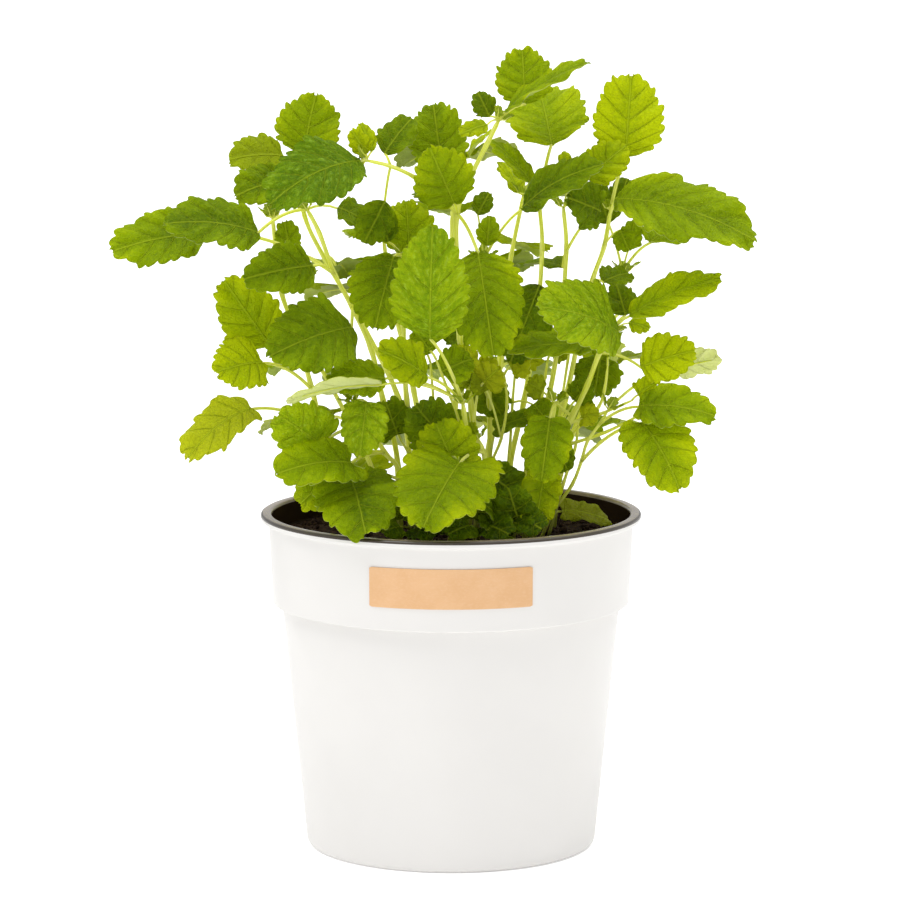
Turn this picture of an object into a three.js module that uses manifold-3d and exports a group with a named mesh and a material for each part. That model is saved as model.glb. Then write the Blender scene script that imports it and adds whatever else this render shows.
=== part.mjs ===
// A lemon balm plant in a plain plastic nursery pot, in millimetres, +Z up.
// The origin is the centre of the pot's foot, on the ground, and the front of the plant faces -Y.
import * as THREE from 'three';
import { mergeVertices } from 'three/addons/utils/BufferGeometryUtils.js';
import Module from 'manifold-3d';

const wasm = await Module();
wasm.setup();

// Pot: a thin moulded wall with a wider collar above a step, and a turned-over lip
const POT_HEIGHT = 115;
const RIM_RADIUS = 65;
const RIM_INNER_RADIUS = 61.2;
const RIM_CORNER = 0.7;
const LIP_DROP = 2.7;
const COLLAR_TOP_RADIUS = 62.4;
const COLLAR_FOOT_RADIUS = 61;
const COLLAR_FOOT_Z = 84.2;
const STEP_RADIUS = 57.6;
const STEP_Z = 81.5;
const BASE_RADIUS = 49.6;
const BASE_ROUND = 1.2;
const WALL = 1.2;
const INNER_RISE = 0.3;
const FOOT_OUTER_RADIUS = 48.5;
const FOOT_INNER_RADIUS = 36;
const FOOT_RECESS = 3;
const FLOOR_SLOPE = 3;
const FLOOR_SHIFT = 0.5;
const HUB_RADIUS = 11;
const POT_FACETS = 30;
const DRAIN_RADIUS = 4;
const DRAIN_RING_RADIUS = 22;
const DRAIN_COUNT = 5;
const DRAIN_SIDES = 12;

// Soil: its top is uneven, by waves that each have a rate along X, one along Y and a share
const SOIL_Z = 107;
const SOIL_RELIEF = 1.1;
const SOIL_RINGS = [0.75, 0.4, 0];
const SOIL_WAVES = [[0.31, 0.27, 1], [-0.3, 0.5, 0.6]];
const GAP = 0.3;
const HOLE_CLEARANCE = 0.35;

// Label: a bare paper strip round the front of the collar
const LABEL_WIDTH = 55.7;
const LABEL_BOTTOM_Z = 91.9;
const LABEL_TOP_Z = 105.3;
const LABEL_THICKNESS = 0.6;

// Stems, leaf stalks and blades
const STEM_ROOT_RADIUS = 1.5;
const STEM_TIP_RADIUS = 0.9;
const STEM_SIDES = 4;
const STEM_FACING = [0.3, -1, 0];
const STALK_HALF_WIDTH = 0.7;
const STALK_HALF_DEPTH = 0.6;
const STALK_ARCH = 0.1;
const SHORT_STALK = 10;
const FLAT_ENOUGH = 0.05;
const BLADE_THICKNESS = 0.8;
const BLADE_FOLD = 0.22;
const LOBE_LEAST = 1.5;
const LOBE_PER_WIDTH = 0.125;
const LOBE_FADE = 8;
const WEDGE_LOBE = 0.6;
const HEART_Z = 140;
const WEDGE_Z = 165;
const WIDEST_AT = 0.38;
const HEART_FULLNESS = 0.5;
const WEDGE_FULLNESS = 0.75;
const TIP_FULLNESS = 0.62;
const CREST = 1.05;
const NOTCH = 0.89;
const CREST_LEAN = 0.15;

// The teeth on each side of a blade, and the facets along its midrib, for widths over a least one
const TEETH = [[25, 5], [15, 4], [11, 3], [0, 2]];
const RIB_FACETS = [[19, 3], [0, 2]];

// Each leafy stem: its name, then shoots of a route and leaves. A leaf is the point of the route that
// it springs from, its blade's base and tip, its width, the way its upper side faces, and the
// degrees that it arches through from base to tip.
const FRONT_STEMS = [
  ['leafy_stem_left_tall', [
    [[-20, -4, 92], [-18, -5, 130], [-23, -8, 154], [-27, -11, 172], [-33, -14, 186],
      [-39, -17, 198], [-44, -19, 212], [-48, -20, 220]],
    [
      [5, [-83, -22, 212], [-112, -32, 207], 20, [0, -0.75, 0.65], 30],
      [7, [-64, -30, 213], [-94, -42, 217], 21, [0, -0.7, 0.7], 40],
      [5, [-46, -28, 202], [-68, -42, 199], 16, [0, -1, 0.3], 35],
      [5, [-54, -13, 205], [-56, -10, 215], 8, [0, -1, 0.2], 20],
      [7, [-38, -14, 220], [-27, -12, 213], 12, [0, -0.6, 0.8], 40],
      [4, [-33, -26, 181], [-60, -40, 173], 26, [0, -0.85, 0.5], 45],
    ],
  ]],
  ['leafy_stem_left_low', [
    [[-34, 2, 92], [-41, -4, 126], [-44, -8, 144], [-47, -10, 158], [-52, -12, 177],
      [-57, -12, 191], [-59, -10, 206], [-60, -9, 216]],
    [
      [4, [-61, -16, 174], [-76, -18, 196], 19, [-0.1, -1, 0.3], 20],
      [3, [-63, -24, 169], [-78, -34, 167], 19, [-0.1, -0.9, 0.5], 35],
      [2, [-67, -20, 153], [-88, -26, 137], 20, [-0.3, -0.55, 0.8], 50],
      [7, [-56, -10, 229], [-72, -16, 224], 15, [0, -0.8, 0.6], 35],
      [5, [-52, 14, 191], [-57, 40, 192], 15, [-0.2, 0.2, 1], 35],
    ],
  ]],
  ['leafy_stem_upper_left', [
    [[-14, 14, 92], [-14, 13, 127], [-18, 12, 152], [-31, 12, 179], [-43, 12, 200],
      [-50, 12, 215], [-52, 12, 231]],
    [
      [6, [-50, 12, 236], [-46, 14, 256], 21, [-0.2, -1, 0.3], 30],
      [6, [-57, 6, 236], [-75, 0, 235], 15, [0, -0.8, 0.6], 40],
      [6, [-46, 26, 232], [-41, 48, 228], 15, [0.2, 0.2, 1], 35],
      [4, [-40, 28, 197], [-36, 54, 190], 17, [0, 0.3, 1], 35],
    ],
  ]],
  ['leafy_stem_centre_tall', [
    [[4, 0, 92], [8, -3, 130], [7, -8, 151], [3, -12, 176], [2, -14, 200],
      [2, -14, 218], [6, -12, 229], [12, -10, 241], [16, -9, 249]],
    [
      [8, [18, -12, 252], [46, -22, 269], 14, [-0.5, -0.15, 0.8], 20],
      [8, [25, -2, 254], [24, 3, 272], 18, [0, -1, 0.3], 25],
      [8, [12, -16, 248], [3, -22, 245], 6, [0, -0.8, 0.6], 20],
      [8, [13, -5, 250], [9, -2, 258], 7, [0, -1, 0.2], 20],
      [5, [-3, -8, 233], [-6, -3, 254], 18, [0, -1, 0.2], 25],
      [5, [1, -20, 222], [-7, -27, 241], 19, [-0.1, -1, 0.3], 30],
      [5, [-3, -7, 222], [-11, 1, 226], 11, [0, -0.6, 0.8], 30],
      [5, [9, -26, 206], [14, -38, 173], 24, [0, -1, 0.35], 30],
    ],
    [[2, -14, 218], [-4, -19, 225], [-12, -24, 231], [-20, -28, 235], [-28, -29, 237]],
    [
      [4, [-30, -32, 237], [-59, -46, 224], 25, [0, -0.65, 0.75], 55],
      [4, [-28, -27, 239], [-33, -28, 247], 6, [0, -1, 0.3], 20],
      [4, [-26, -27, 240], [-30, -24, 249], 5, [0.3, -1, 0.3], 20],
      [3, [-22, -24, 239], [-13, -16, 250], 11, [0, -0.7, 0.7], 25],
      [3, [-22, -23, 223], [-29, -23, 209], 11, [0, -1, 0], 25],
    ],
  ]],
  ['leafy_stem_centre_front', [
    [[2, -22, 92], [6, -26, 133], [5, -29, 147], [4, -31, 156]],
    [
      [3, [-7, -42, 179], [-6, -50, 217], 23, [-0.05, -1, 0.2], 30],
      [3, [-8, -38, 166], [-24, -48, 176], 15, [0, -0.8, 0.6], 35],
      [3, [-23, -42, 164], [-54, -55, 160], 8, [0, 0.6, 0.8], 25],
      [3, [-22, -34, 165], [-41, -42, 164], 13, [0, -0.8, 0.6], 35],
      [3, [-3, -32, 167], [7, -30, 171], 12, [0, -0.9, 0.4], 25],
      [1, [-1, -23, 141], [-12, -20, 154], 18, [0, -1, 0.2], 25],
    ],
  ]],
  ['leafy_stem_centre_left', [
    [[-10, -6, 92], [-11, -8, 130], [-15, -11, 155], [-16, -16, 180], [-16, -20, 204]],
    [
      [4, [-19, -28, 205], [-25, -36, 182], 23, [-0.1, -1, 0.3], 30],
      [4, [-14, -14, 205], [-15, -11, 222], 17, [0, -1, 0.3], 25],
      [4, [-21, -18, 209], [-25, -14, 222], 9, [0, -0.8, 0.6], 25],
    ],
  ]],
  ['leafy_stem_centre_right', [
    [[10, 4, 92], [13, 3, 129], [13, 0, 153], [12, -4, 178], [11, -8, 202]],
    [
      [4, [24, -15, 220], [50, -24, 235], 16, [0, -0.6, 0.8], 40],
      [4, [12, -11, 207], [13, -10, 217], 7, [0, -1, 0.2], 20],
      [3, [8, 3, 174], [-3, 6, 178], 12, [0, -0.8, 0.5], 25],
      [2, [11, -8, 160], [13, -11, 169], 9, [0, -0.9, 0.5], 25],
      [4, [9, -5, 217], [13, -2, 224], 6, [0, -0.9, 0.5], 20],
      [1, [15, 0, 143], [29, -2, 148], 10, [0, -0.5, 0.85], 25],
      [2, [9, 3, 160], [17, 1, 148], 13, [0, -0.9, 0.4], 25],
    ],
  ]],
  ['leafy_stem_right_back', [
    [[16, 8, 92], [20, 8, 128], [25, 7, 152], [29, 6, 177], [31, 5, 204], [30, 5, 220]],
    [
      [5, [27, 6, 227], [13, 13, 241], 10, [0.2, -0.4, 0.9], 25],
      [5, [34, 4, 240], [30, 30, 258], 26, [0, -0.6, 0.8], 25],
      [4, [30, -4, 193], [20, -14, 168], 16, [0, -1, 0.2], 25],
    ],
  ]],
  ['leafy_stem_right_middle', [
    [[22, 0, 92], [26, 0, 129], [33, 0, 153], [37, 0, 177], [39, -2, 204], [38, -3, 219]],
    [
      [4, [50, -14, 219], [39, -22, 224], 15, [0, -1, 0.3], 25],
      [5, [46, -6, 229], [59, -3, 240], 13, [-0.1, -0.9, 0.4], 25],
      [4, [38, 8, 198], [24, 22, 197], 13, [0, -0.15, 1], 30],
      [5, [40, -2, 227], [38, 0, 238], 5, [0, -1, 0.3], 20],
    ],
  ]],
  ['leafy_stem_right_tall', [
    [[28, 2, 92], [32, 2, 129], [39, 2, 153], [44, 2, 177], [48, 1, 194], [52, 0, 206],
      [54, 0, 218]],
    [
      [6, [59, 2, 236], [61, 6, 263], 22, [0, -1, 0.25], 25],
      [5, [55, -13, 223], [101, -26, 210], 28, [0.1, -0.6, 0.8], 40],
      [6, [57, 6, 219], [60, 10, 228], 8, [0, -1, 0.3], 20],
      [5, [57, -7, 212], [60, -9, 205], 7, [0, -1, 0], 20],
      [4, [52, 6, 193], [61, 14, 195], 10, [0, -0.6, 0.8], 25],
    ],
  ]],
  ['leafy_stem_right_far', [
    [[34, 14, 92], [38, 14, 127], [48, 16, 155], [54, 18, 176], [59, 19, 195]],
    [
      [4, [54, 20, 212], [50, 21, 225], 11, [0, -0.9, 0.4], 25],
      [4, [68, 12, 206], [83, 24, 212], 16, [0.2, -0.2, 1], 30],
      [4, [61, 18, 203], [63, 18, 213], 7, [0, -0.9, 0.4], 25],
      [3, [62, 32, 181], [71, 56, 180], 17, [0.2, 0.3, 1], 35],
    ],
  ]],
  ['leafy_stem_diagonal', [
    [[26, -8, 92], [31, -10, 129], [36, -11, 139], [41, -12, 149], [46, -13, 160],
      [50, -14, 171], [54, -14, 178]],
    [
      [6, [56, -22, 179], [29, -38, 189], 28, [0, -0.75, 0.65], 40],
      [6, [60, -16, 184], [90, -24, 197], 14, [0.1, -0.6, 0.8], 25],
      [6, [59, -7, 183], [56, -2, 193], 9, [0, -0.9, 0.4], 25],
      [5, [47, -20, 174], [19, -28, 173], 14, [0, -0.5, 0.85], 30],
      [5, [64, -13, 166], [82, -16, 172], 16, [0, -0.85, 0.5], 35],
      [5, [51, 4, 168], [49, 8, 154], 15, [0, -1, 0.2], 25],
      [6, [60, -11, 181], [67, -12, 179], 5, [0, -0.9, 0.5], 20],
    ],
  ]],
  ['leafy_stem_right_low', [
    [[24, -12, 92], [34, -12, 115], [41, -13, 126], [44, -14, 134], [46, -15, 141],
      [50, -16, 147], [53, -16, 152]],
    [
      [3, [64, -26, 149], [76, -36, 128], 21, [0.2, -0.95, 0.3], 60],
      [5, [63, -22, 154], [88, -32, 152], 16, [0.1, -0.75, 0.65], 40],
      [6, [76, -3, 164], [91, -5, 168], 14, [0, 0.75, 0.6], 25],
      [1, [38, -7, 116], [54, -3, 112], 11, [0, -0.5, 0.9], 30],
    ],
  ]],
  ['leafy_stem_left_front', [
    [[-18, -18, 92], [-17, -24, 129], [-22, -28, 139], [-28, -32, 149], [-32, -34, 157]],
    [
      [4, [-28, -41, 158], [-30, -48, 141], 14, [0, -1, 0.25], 25],
      [3, [-43, -36, 143], [-57, -45, 154], 19, [-0.2, -1, 0.4], 30],
      [2, [-33, -44, 138], [-57, -56, 136], 17, [0, -0.7, 0.7], 45],
      [2, [-39, -38, 133], [-50, -42, 124], 13, [0, -0.9, 0.4], 35],
      [1, [-33, -40, 132], [-28, -61, 117], 26, [0, -0.55, 0.83], 30],
    ],
  ]],
  ['leafy_stem_front', [
    [[8, -16, 92], [9, -20, 125], [11, -24, 132], [11, -28, 139], [9, -30, 144]],
    [
      [3, [3, -42, 138], [-9, -66, 120], 29, [0, -0.72, 0.7], 30],
      [4, [1, -37, 136], [-5, -35, 150], 19, [0, -1, 0.1], 20],
      [1, [13, -26, 131], [24, -30, 123], 14, [0, -0.8, 0.6], 25],
    ],
  ]],
  ['leafy_stem_right_front', [
    [[22, -20, 92], [27, -22, 121], [32, -22, 139], [35, -22, 155]],
    [
      [3, [33, -30, 151], [30, -38, 131], 15, [0, -1, 0.2], 25],
      [2, [31, -29, 131], [28, -36, 115], 12, [0, -1, 0.3], 25],
      [2, [36, -20, 140], [39, -21, 132], 8, [0, -0.9, 0.3], 20],
    ],
  ]],
  ['leafy_sprout_right', [
    [[14, -32, 92], [15, -33, 115], [16, -35, 118]],
    [
      [2, [15, -38, 119], [11, -45, 124], 9, [0, -0.8, 0.6], 25],
      [2, [19, -35, 120], [25, -37, 125], 9, [0, -0.8, 0.6], 25],
      [1, [15, -38, 117], [12, -48, 116], 9, [0, -0.8, 0.6], 25],
      [1, [20, -38, 117], [26, -45, 116], 9, [0, -0.8, 0.6], 25],
    ],
  ]],
  ['leafy_sprout_left', [
    [[-8, -34, 92], [-8, -35, 115], [-7, -37, 118]],
    [
      [2, [-10, -37, 119], [-15, -39, 121], 9, [0, -0.8, 0.6], 25],
      [2, [-4, -35, 119], [3, -33, 122], 9, [0, -0.8, 0.6], 25],
      [1, [-4, -40, 117], [2, -47, 117], 9, [0, -0.8, 0.6], 25],
    ],
  ]],
];

// The stems behind follow a rule. Each is a compass direction in degrees from the middle of the
// clump, the ring of its root and of its tip, the height of its tip and of its lowest leaves.
const BACK_STEMS = [
  [28, 26, 56, 160, 116],
  [70, 26, 58, 177, 118],
  [112, 26, 58, 174, 118],
  [154, 26, 54, 162, 116],
  [48, 13, 34, 220, 165],
  [92, 12, 28, 232, 170],
  [136, 13, 36, 204, 162],
];
const BACK_SEED = 8;
const BACK_CENTRE = [2, 12];
const BACK_ROOT_Z = 92;
const BACK_NODE_SPACING = 21;
const BACK_BARE_SPACING = 30;
const BACK_BARE_Z = 115;
const BACK_SPREAD_POWER = 1.3;
const BACK_SWAY = 1.5;
const BACK_PAIR_ANGLE = 36;
const BACK_LEAF_ANGLES = [12, 168];
const BACK_LOW_ANGLES = [45, 135];
const BACK_LOW_Z = 125;
const BACK_BLADES = [40, 26];
const BACK_BLADE_SPREAD = [0.88, 1.12];
const BACK_WIDTH_RATIO = 0.7;
const BACK_BLADE_ARCH = 35;
const BACK_DROOP = [6, 20];
const BACK_LEAN = 0.3;
const BACK_ROLL = 0.3;
const BACK_ROLL_SPREAD = [-0.1, 0.1];
const BACK_STALKS = [13.2, 7.2];
const BACK_STALK_SPREAD = [0.8, 1.2];
const BACK_STALK_RISE = 0.3;
const BACK_TUFT_ANGLES = [-90, 90];
const BACK_TUFT_BLADE = 13;
const BACK_TUFT_STALK = 3;
const BACK_TUFT_RISE = [30, 50];

const radians = THREE.MathUtils.degToRad;
const { lerp } = THREE.MathUtils;

// A seeded draw between a low and a high value
function seededDraw(seed) {
  let state = seed;
  return ([low, high]) => {
    state = (state * 16807) % 2147483647;
    return lerp(low, high, state / 2147483647);
  };
}

// One leaf of a back stem, springing from point node of its route in the compass direction turn
function backLeaf(node, from, turn, stalk, length, slope, roll) {
  const out = [Math.cos(turn), Math.sin(turn)];
  const base = [from[0] + out[0] * stalk, from[1] + out[1] * stalk,
    from[2] + BACK_STALK_RISE * stalk];
  const reach = length * Math.cos(slope);
  const tip = [base[0] + out[0] * reach, base[1] + out[1] * reach,
    base[2] + length * Math.sin(slope)];
  const face = [BACK_LEAN * out[0] - roll * out[1], BACK_LEAN * out[1] + roll * out[0], 1];
  return [node, base, tip, length * BACK_WIDTH_RATIO, face, BACK_BLADE_ARCH];
}

// The route of a back stem: the place at each of its heights
function backRoute([compass, rootRing, tipRing, tipZ], heights, draw) {
  const [east, north] = [Math.cos(radians(compass)), Math.sin(radians(compass))];
  return [BACK_ROOT_Z, ...heights].map((z) => {
    const share = Math.max(0, (z - SOIL_Z) / (tipZ - SOIL_Z));
    const ring = lerp(rootRing, tipRing, share ** BACK_SPREAD_POWER);
    const sway = z > SOIL_Z ? draw([-BACK_SWAY, BACK_SWAY]) : 0;
    return [
      BACK_CENTRE[0] + ring * east - sway * north,
      BACK_CENTRE[1] + ring * north + sway * east,
      z,
    ];
  });
}

// The table row of back stem k. Single leaves and pairs take turns up its leafy part, smaller
// towards the top, which ends in a tuft of two. None points to the front, nor a low one to the side.
function backStem(row, k, draw) {
  const [compass, , , tipZ, leafZ] = row;
  const heights = [];
  for (let z = tipZ; z > leafZ; z -= BACK_NODE_SPACING) heights.unshift(z);
  const leafy = heights.length;
  for (let z = heights[0] - BACK_BARE_SPACING; z > BACK_BARE_Z; z -= BACK_BARE_SPACING) {
    heights.unshift(z);
  }
  const route = backRoute(row, heights, draw);
  const leaves = [];
  const top = route.length - 1;
  for (let j = 1; j <= leafy; j += 1) {
    const node = top - leafy + j;
    const [least, most] = route[node][2] < BACK_LOW_Z ? BACK_LOW_ANGLES : BACK_LEAF_ANGLES;
    const turns = (k + j) % 2 ? [0] : [-BACK_PAIR_ANGLE, BACK_PAIR_ANGLE];
    for (const turn of turns) {
      const way = compass + turn;
      const stalk = lerp(...BACK_STALKS, j / leafy) * draw(BACK_STALK_SPREAD);
      const length = lerp(...BACK_BLADES, j / leafy) * draw(BACK_BLADE_SPREAD);
      const slope = -radians(draw(BACK_DROOP));
      const roll = -BACK_ROLL * Math.sign(turn) - draw(BACK_ROLL_SPREAD);
      if (way > least && way < most) {
        leaves.push(backLeaf(node, route[node], radians(way), stalk, length, slope, roll));
      }
    }
  }
  for (const turn of BACK_TUFT_ANGLES) {
    const slope = radians(draw(BACK_TUFT_RISE));
    const way = radians(compass + turn);
    leaves.push(backLeaf(top, route[top], way, BACK_TUFT_STALK, BACK_TUFT_BLADE, slope, 0));
  }
  return [`leafy_stem_back_${k + 1}`, [route, leaves]];
}

// A closed geometry as a solid for joining and cutting
function solidOf(geometry) {
  const bare = geometry.index ? geometry.toNonIndexed() : geometry;
  const positions = new THREE.BufferGeometry();
  positions.setAttribute('position', bare.getAttribute('position'));
  const merged = mergeVertices(positions, 1e-4);
  const index = merged.index.array;
  const kept = [];
  for (let i = 0; i < index.length; i += 3) {
    const [a, b, c] = [index[i], index[i + 1], index[i + 2]];
    if (a !== b && b !== c && c !== a) kept.push(a, b, c);
  }
  return new wasm.Manifold(new wasm.Mesh({
    numProp: 3,
    vertProperties: merged.attributes.position.array,
    triVerts: new Uint32Array(kept),
  }));
}

// The geometry of a solid
function geometryOf(solid) {
  const mesh = solid.getMesh();
  const geometry = new THREE.BufferGeometry();
  geometry.setAttribute('position', new THREE.BufferAttribute(mesh.vertProperties, 3));
  geometry.setIndex(new THREE.BufferAttribute(mesh.triVerts, 1));
  geometry.computeVertexNormals();
  return geometry;
}

// A profile of radius and height turned about the vertical
function turned(profile) {
  const points = profile.map(([radius, z]) => new THREE.Vector2(radius, z));
  const geometry = new THREE.LatheGeometry(points, POT_FACETS);
  geometry.rotateX(Math.PI / 2);
  return geometry;
}

// A closed geometry from points and triangles
function faceted(points, triangles) {
  const geometry = new THREE.BufferGeometry();
  geometry.setAttribute('position', new THREE.Float32BufferAttribute(points, 3));
  geometry.setIndex(triangles);
  return geometry;
}

// The pot's wall as an outer profile, from the base up to the step and the collar's top
const OUTER_WALL = [
  [BASE_RADIUS, BASE_ROUND],
  [STEP_RADIUS, STEP_Z],
  [COLLAR_FOOT_RADIUS, COLLAR_FOOT_Z],
  [COLLAR_TOP_RADIUS, POT_HEIGHT - LIP_DROP],
];

// The radius of the collar's outside at a height
function collarRadius(z) {
  const share = (z - COLLAR_FOOT_Z) / (POT_HEIGHT - LIP_DROP - COLLAR_FOOT_Z);
  return lerp(COLLAR_FOOT_RADIUS, COLLAR_TOP_RADIUS, share);
}

// The inside of the pot's wall, from the base up, and its floor, from the outer edge to the
// middle, each drawn in by a gap
function innerWall(gap) {
  return OUTER_WALL.map(([radius, z]) => [radius - WALL - gap, z + INNER_RISE + gap]);
}

function innerFloor(gap) {
  const shift = FLOOR_SHIFT + gap / 2;
  return [
    [FOOT_OUTER_RADIUS - shift, WALL + gap],
    [FOOT_INNER_RADIUS + shift, WALL + gap],
    [FOOT_INNER_RADIUS - FLOOR_SLOPE + shift, FOOT_RECESS + WALL + gap],
    [HUB_RADIUS + FLOOR_SLOPE - shift, FOOT_RECESS + WALL + gap],
    [HUB_RADIUS - shift, WALL + gap],
    [0, WALL + gap],
  ];
}

function potGeometry() {
  let pot = solidOf(turned([
    [0, 0],
    [HUB_RADIUS, 0],
    [HUB_RADIUS + FLOOR_SLOPE, FOOT_RECESS],
    [FOOT_INNER_RADIUS - FLOOR_SLOPE, FOOT_RECESS],
    [FOOT_INNER_RADIUS, 0],
    [FOOT_OUTER_RADIUS, 0],
    [BASE_RADIUS - BASE_ROUND / 3, BASE_ROUND / 3],
    ...OUTER_WALL,
    [RIM_RADIUS - RIM_CORNER, POT_HEIGHT - LIP_DROP],
    [RIM_RADIUS, POT_HEIGHT - LIP_DROP + RIM_CORNER],
    [RIM_RADIUS, POT_HEIGHT - RIM_CORNER],
    [RIM_RADIUS - RIM_CORNER, POT_HEIGHT],
    [RIM_INNER_RADIUS + RIM_CORNER, POT_HEIGHT],
    [RIM_INNER_RADIUS, POT_HEIGHT - RIM_CORNER],
    ...innerWall(0).reverse(),
    ...innerFloor(0),
  ]));
  for (let i = 0; i < DRAIN_COUNT; i += 1) {
    const turn = 2 * Math.PI * i / DRAIN_COUNT;
    const drain = new THREE.CylinderGeometry(DRAIN_RADIUS, DRAIN_RADIUS, 3 * WALL, DRAIN_SIDES);
    drain.rotateX(Math.PI / 2);
    drain.translate(DRAIN_RING_RADIUS * Math.cos(turn), DRAIN_RING_RADIUS * Math.sin(turn),
      FOOT_RECESS + WALL / 2);
    pot = pot.subtract(solidOf(drain));
  }
  return geometryOf(pot);
}

// The soil fills the pot from its floor up, and its top is level where it meets the wall
function soilGeometry(holes) {
  const edge = collarRadius(SOIL_Z) - WALL - GAP;
  const geometry = turned([
    ...innerFloor(GAP).reverse(),
    ...innerWall(GAP).slice(0, -1),
    [edge, SOIL_Z],
    ...SOIL_RINGS.map((share) => [edge * share, SOIL_Z]),
  ]);
  const place = geometry.getAttribute('position');
  for (let i = 0; i < place.count; i += 1) {
    const [x, y] = [place.getX(i), place.getY(i)];
    if (place.getZ(i) < SOIL_Z || Math.hypot(x, y) > edge - GAP) continue;
    const wave = SOIL_WAVES.reduce((sum, [alongX, alongY, share]) => (
      sum + share * Math.sin(alongX * x + alongY * y)), 0);
    place.setZ(i, SOIL_Z + SOIL_RELIEF * wave);
  }
  return geometryOf(holes.reduce((soil, hole) => soil.subtract(hole), solidOf(geometry)));
}

// The label lies on the collar's facets
function labelGeometry() {
  const [foot, top] = [collarRadius(LABEL_BOTTOM_Z) + GAP, collarRadius(LABEL_TOP_Z) + GAP];
  const band = solidOf(turned([
    [foot, LABEL_BOTTOM_Z],
    [foot + LABEL_THICKNESS, LABEL_BOTTOM_Z],
    [top + LABEL_THICKNESS, LABEL_TOP_Z],
    [top, LABEL_TOP_Z],
    [foot, LABEL_BOTTOM_Z],
  ]));
  const front = new THREE.BoxGeometry(LABEL_WIDTH, RIM_RADIUS, POT_HEIGHT);
  front.translate(0, -RIM_RADIUS, POT_HEIGHT / 2);
  return geometryOf(band.intersect(solidOf(front)));
}

// A stem's rod along points, with a radius at each
function stemRod(points, radii) {
  const sides = STEM_SIDES;
  const facing = new THREE.Vector3(...STEM_FACING);
  const places = [];
  const triangles = [];
  const last = points.length - 1;
  points.forEach((point, i) => {
    const along = points[Math.min(i + 1, last)].clone().sub(points[Math.max(i - 1, 0)]);
    const side = along.normalize().clone().cross(facing).normalize();
    const lift = side.clone().cross(along);
    for (let k = 0; k < sides; k += 1) {
      const turn = 2 * Math.PI * k / sides + Math.PI / sides;
      const corner = point.clone()
        .addScaledVector(lift, radii[i] * Math.cos(turn))
        .addScaledVector(side, radii[i] * Math.sin(turn));
      places.push(...corner.toArray());
    }
    if (i === 0) return;
    for (let k = 0; k < sides; k += 1) {
      const [a, b] = [sides * (i - 1) + k, sides * (i - 1) + (k + 1) % sides];
      triangles.push(a, b, b + sides, a, b + sides, a + sides);
    }
  });
  for (let k = 1; k < sides - 1; k += 1) {
    triangles.push(0, k + 1, k);
    triangles.push(sides * last, sides * last + k, sides * last + k + 1);
  }
  return faceted(places, triangles);
}

// The surface of one blade: along runs from 0 at the stalk to 1 at the tip, across is in
// millimetres from the midrib, and lift is square to the surface
function bladeSurface([, base, tip, width, face, arch]) {
  const from = new THREE.Vector3(...base);
  const chord = new THREE.Vector3(...tip).sub(from);
  const reach = chord.length();
  chord.normalize();
  const normal = new THREE.Vector3(...face).projectOnPlane(chord).normalize();
  const side = chord.clone().cross(normal);
  const half = radians(arch) / 2;
  const radius = reach / (2 * Math.sin(half));
  return (along, across, lift) => {
    const turn = half * (2 * along - 1);
    const raised = lift + BLADE_FOLD * Math.abs(across);
    return from.clone()
      .addScaledVector(chord, radius * (Math.sin(turn) + Math.sin(half)) + raised * Math.sin(turn))
      .addScaledVector(normal, radius * (Math.cos(turn) - Math.cos(half)) + raised * Math.cos(turn))
      .addScaledVector(side, across);
  };
}

// The smooth outline of half a blade: its place along and its distance across, at a share of the
// way from base to tip. The lowest leaves are heart-shaped beside the stalk, the upper ones are
// wedge-shaped.
function halfOutline([, base, , width], share) {
  const heart = THREE.MathUtils.clamp((WEDGE_Z - base[2]) / (WEDGE_Z - HEART_Z), 0, 1);
  const lobe = lerp(WEDGE_LOBE, LOBE_LEAST + LOBE_PER_WIDTH * width, heart);
  const baseFullness = lerp(WEDGE_FULLNESS, HEART_FULLNESS, heart);
  const skewed = share ** (Math.log(0.5) / Math.log(WIDEST_AT));
  const wide = Math.sin(Math.PI * skewed) ** (share < WIDEST_AT ? baseFullness : TIP_FULLNESS);
  return [share * (1 - lobe * (1 - share) ** LOBE_FADE), 0.5 * width * wide];
}

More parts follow.
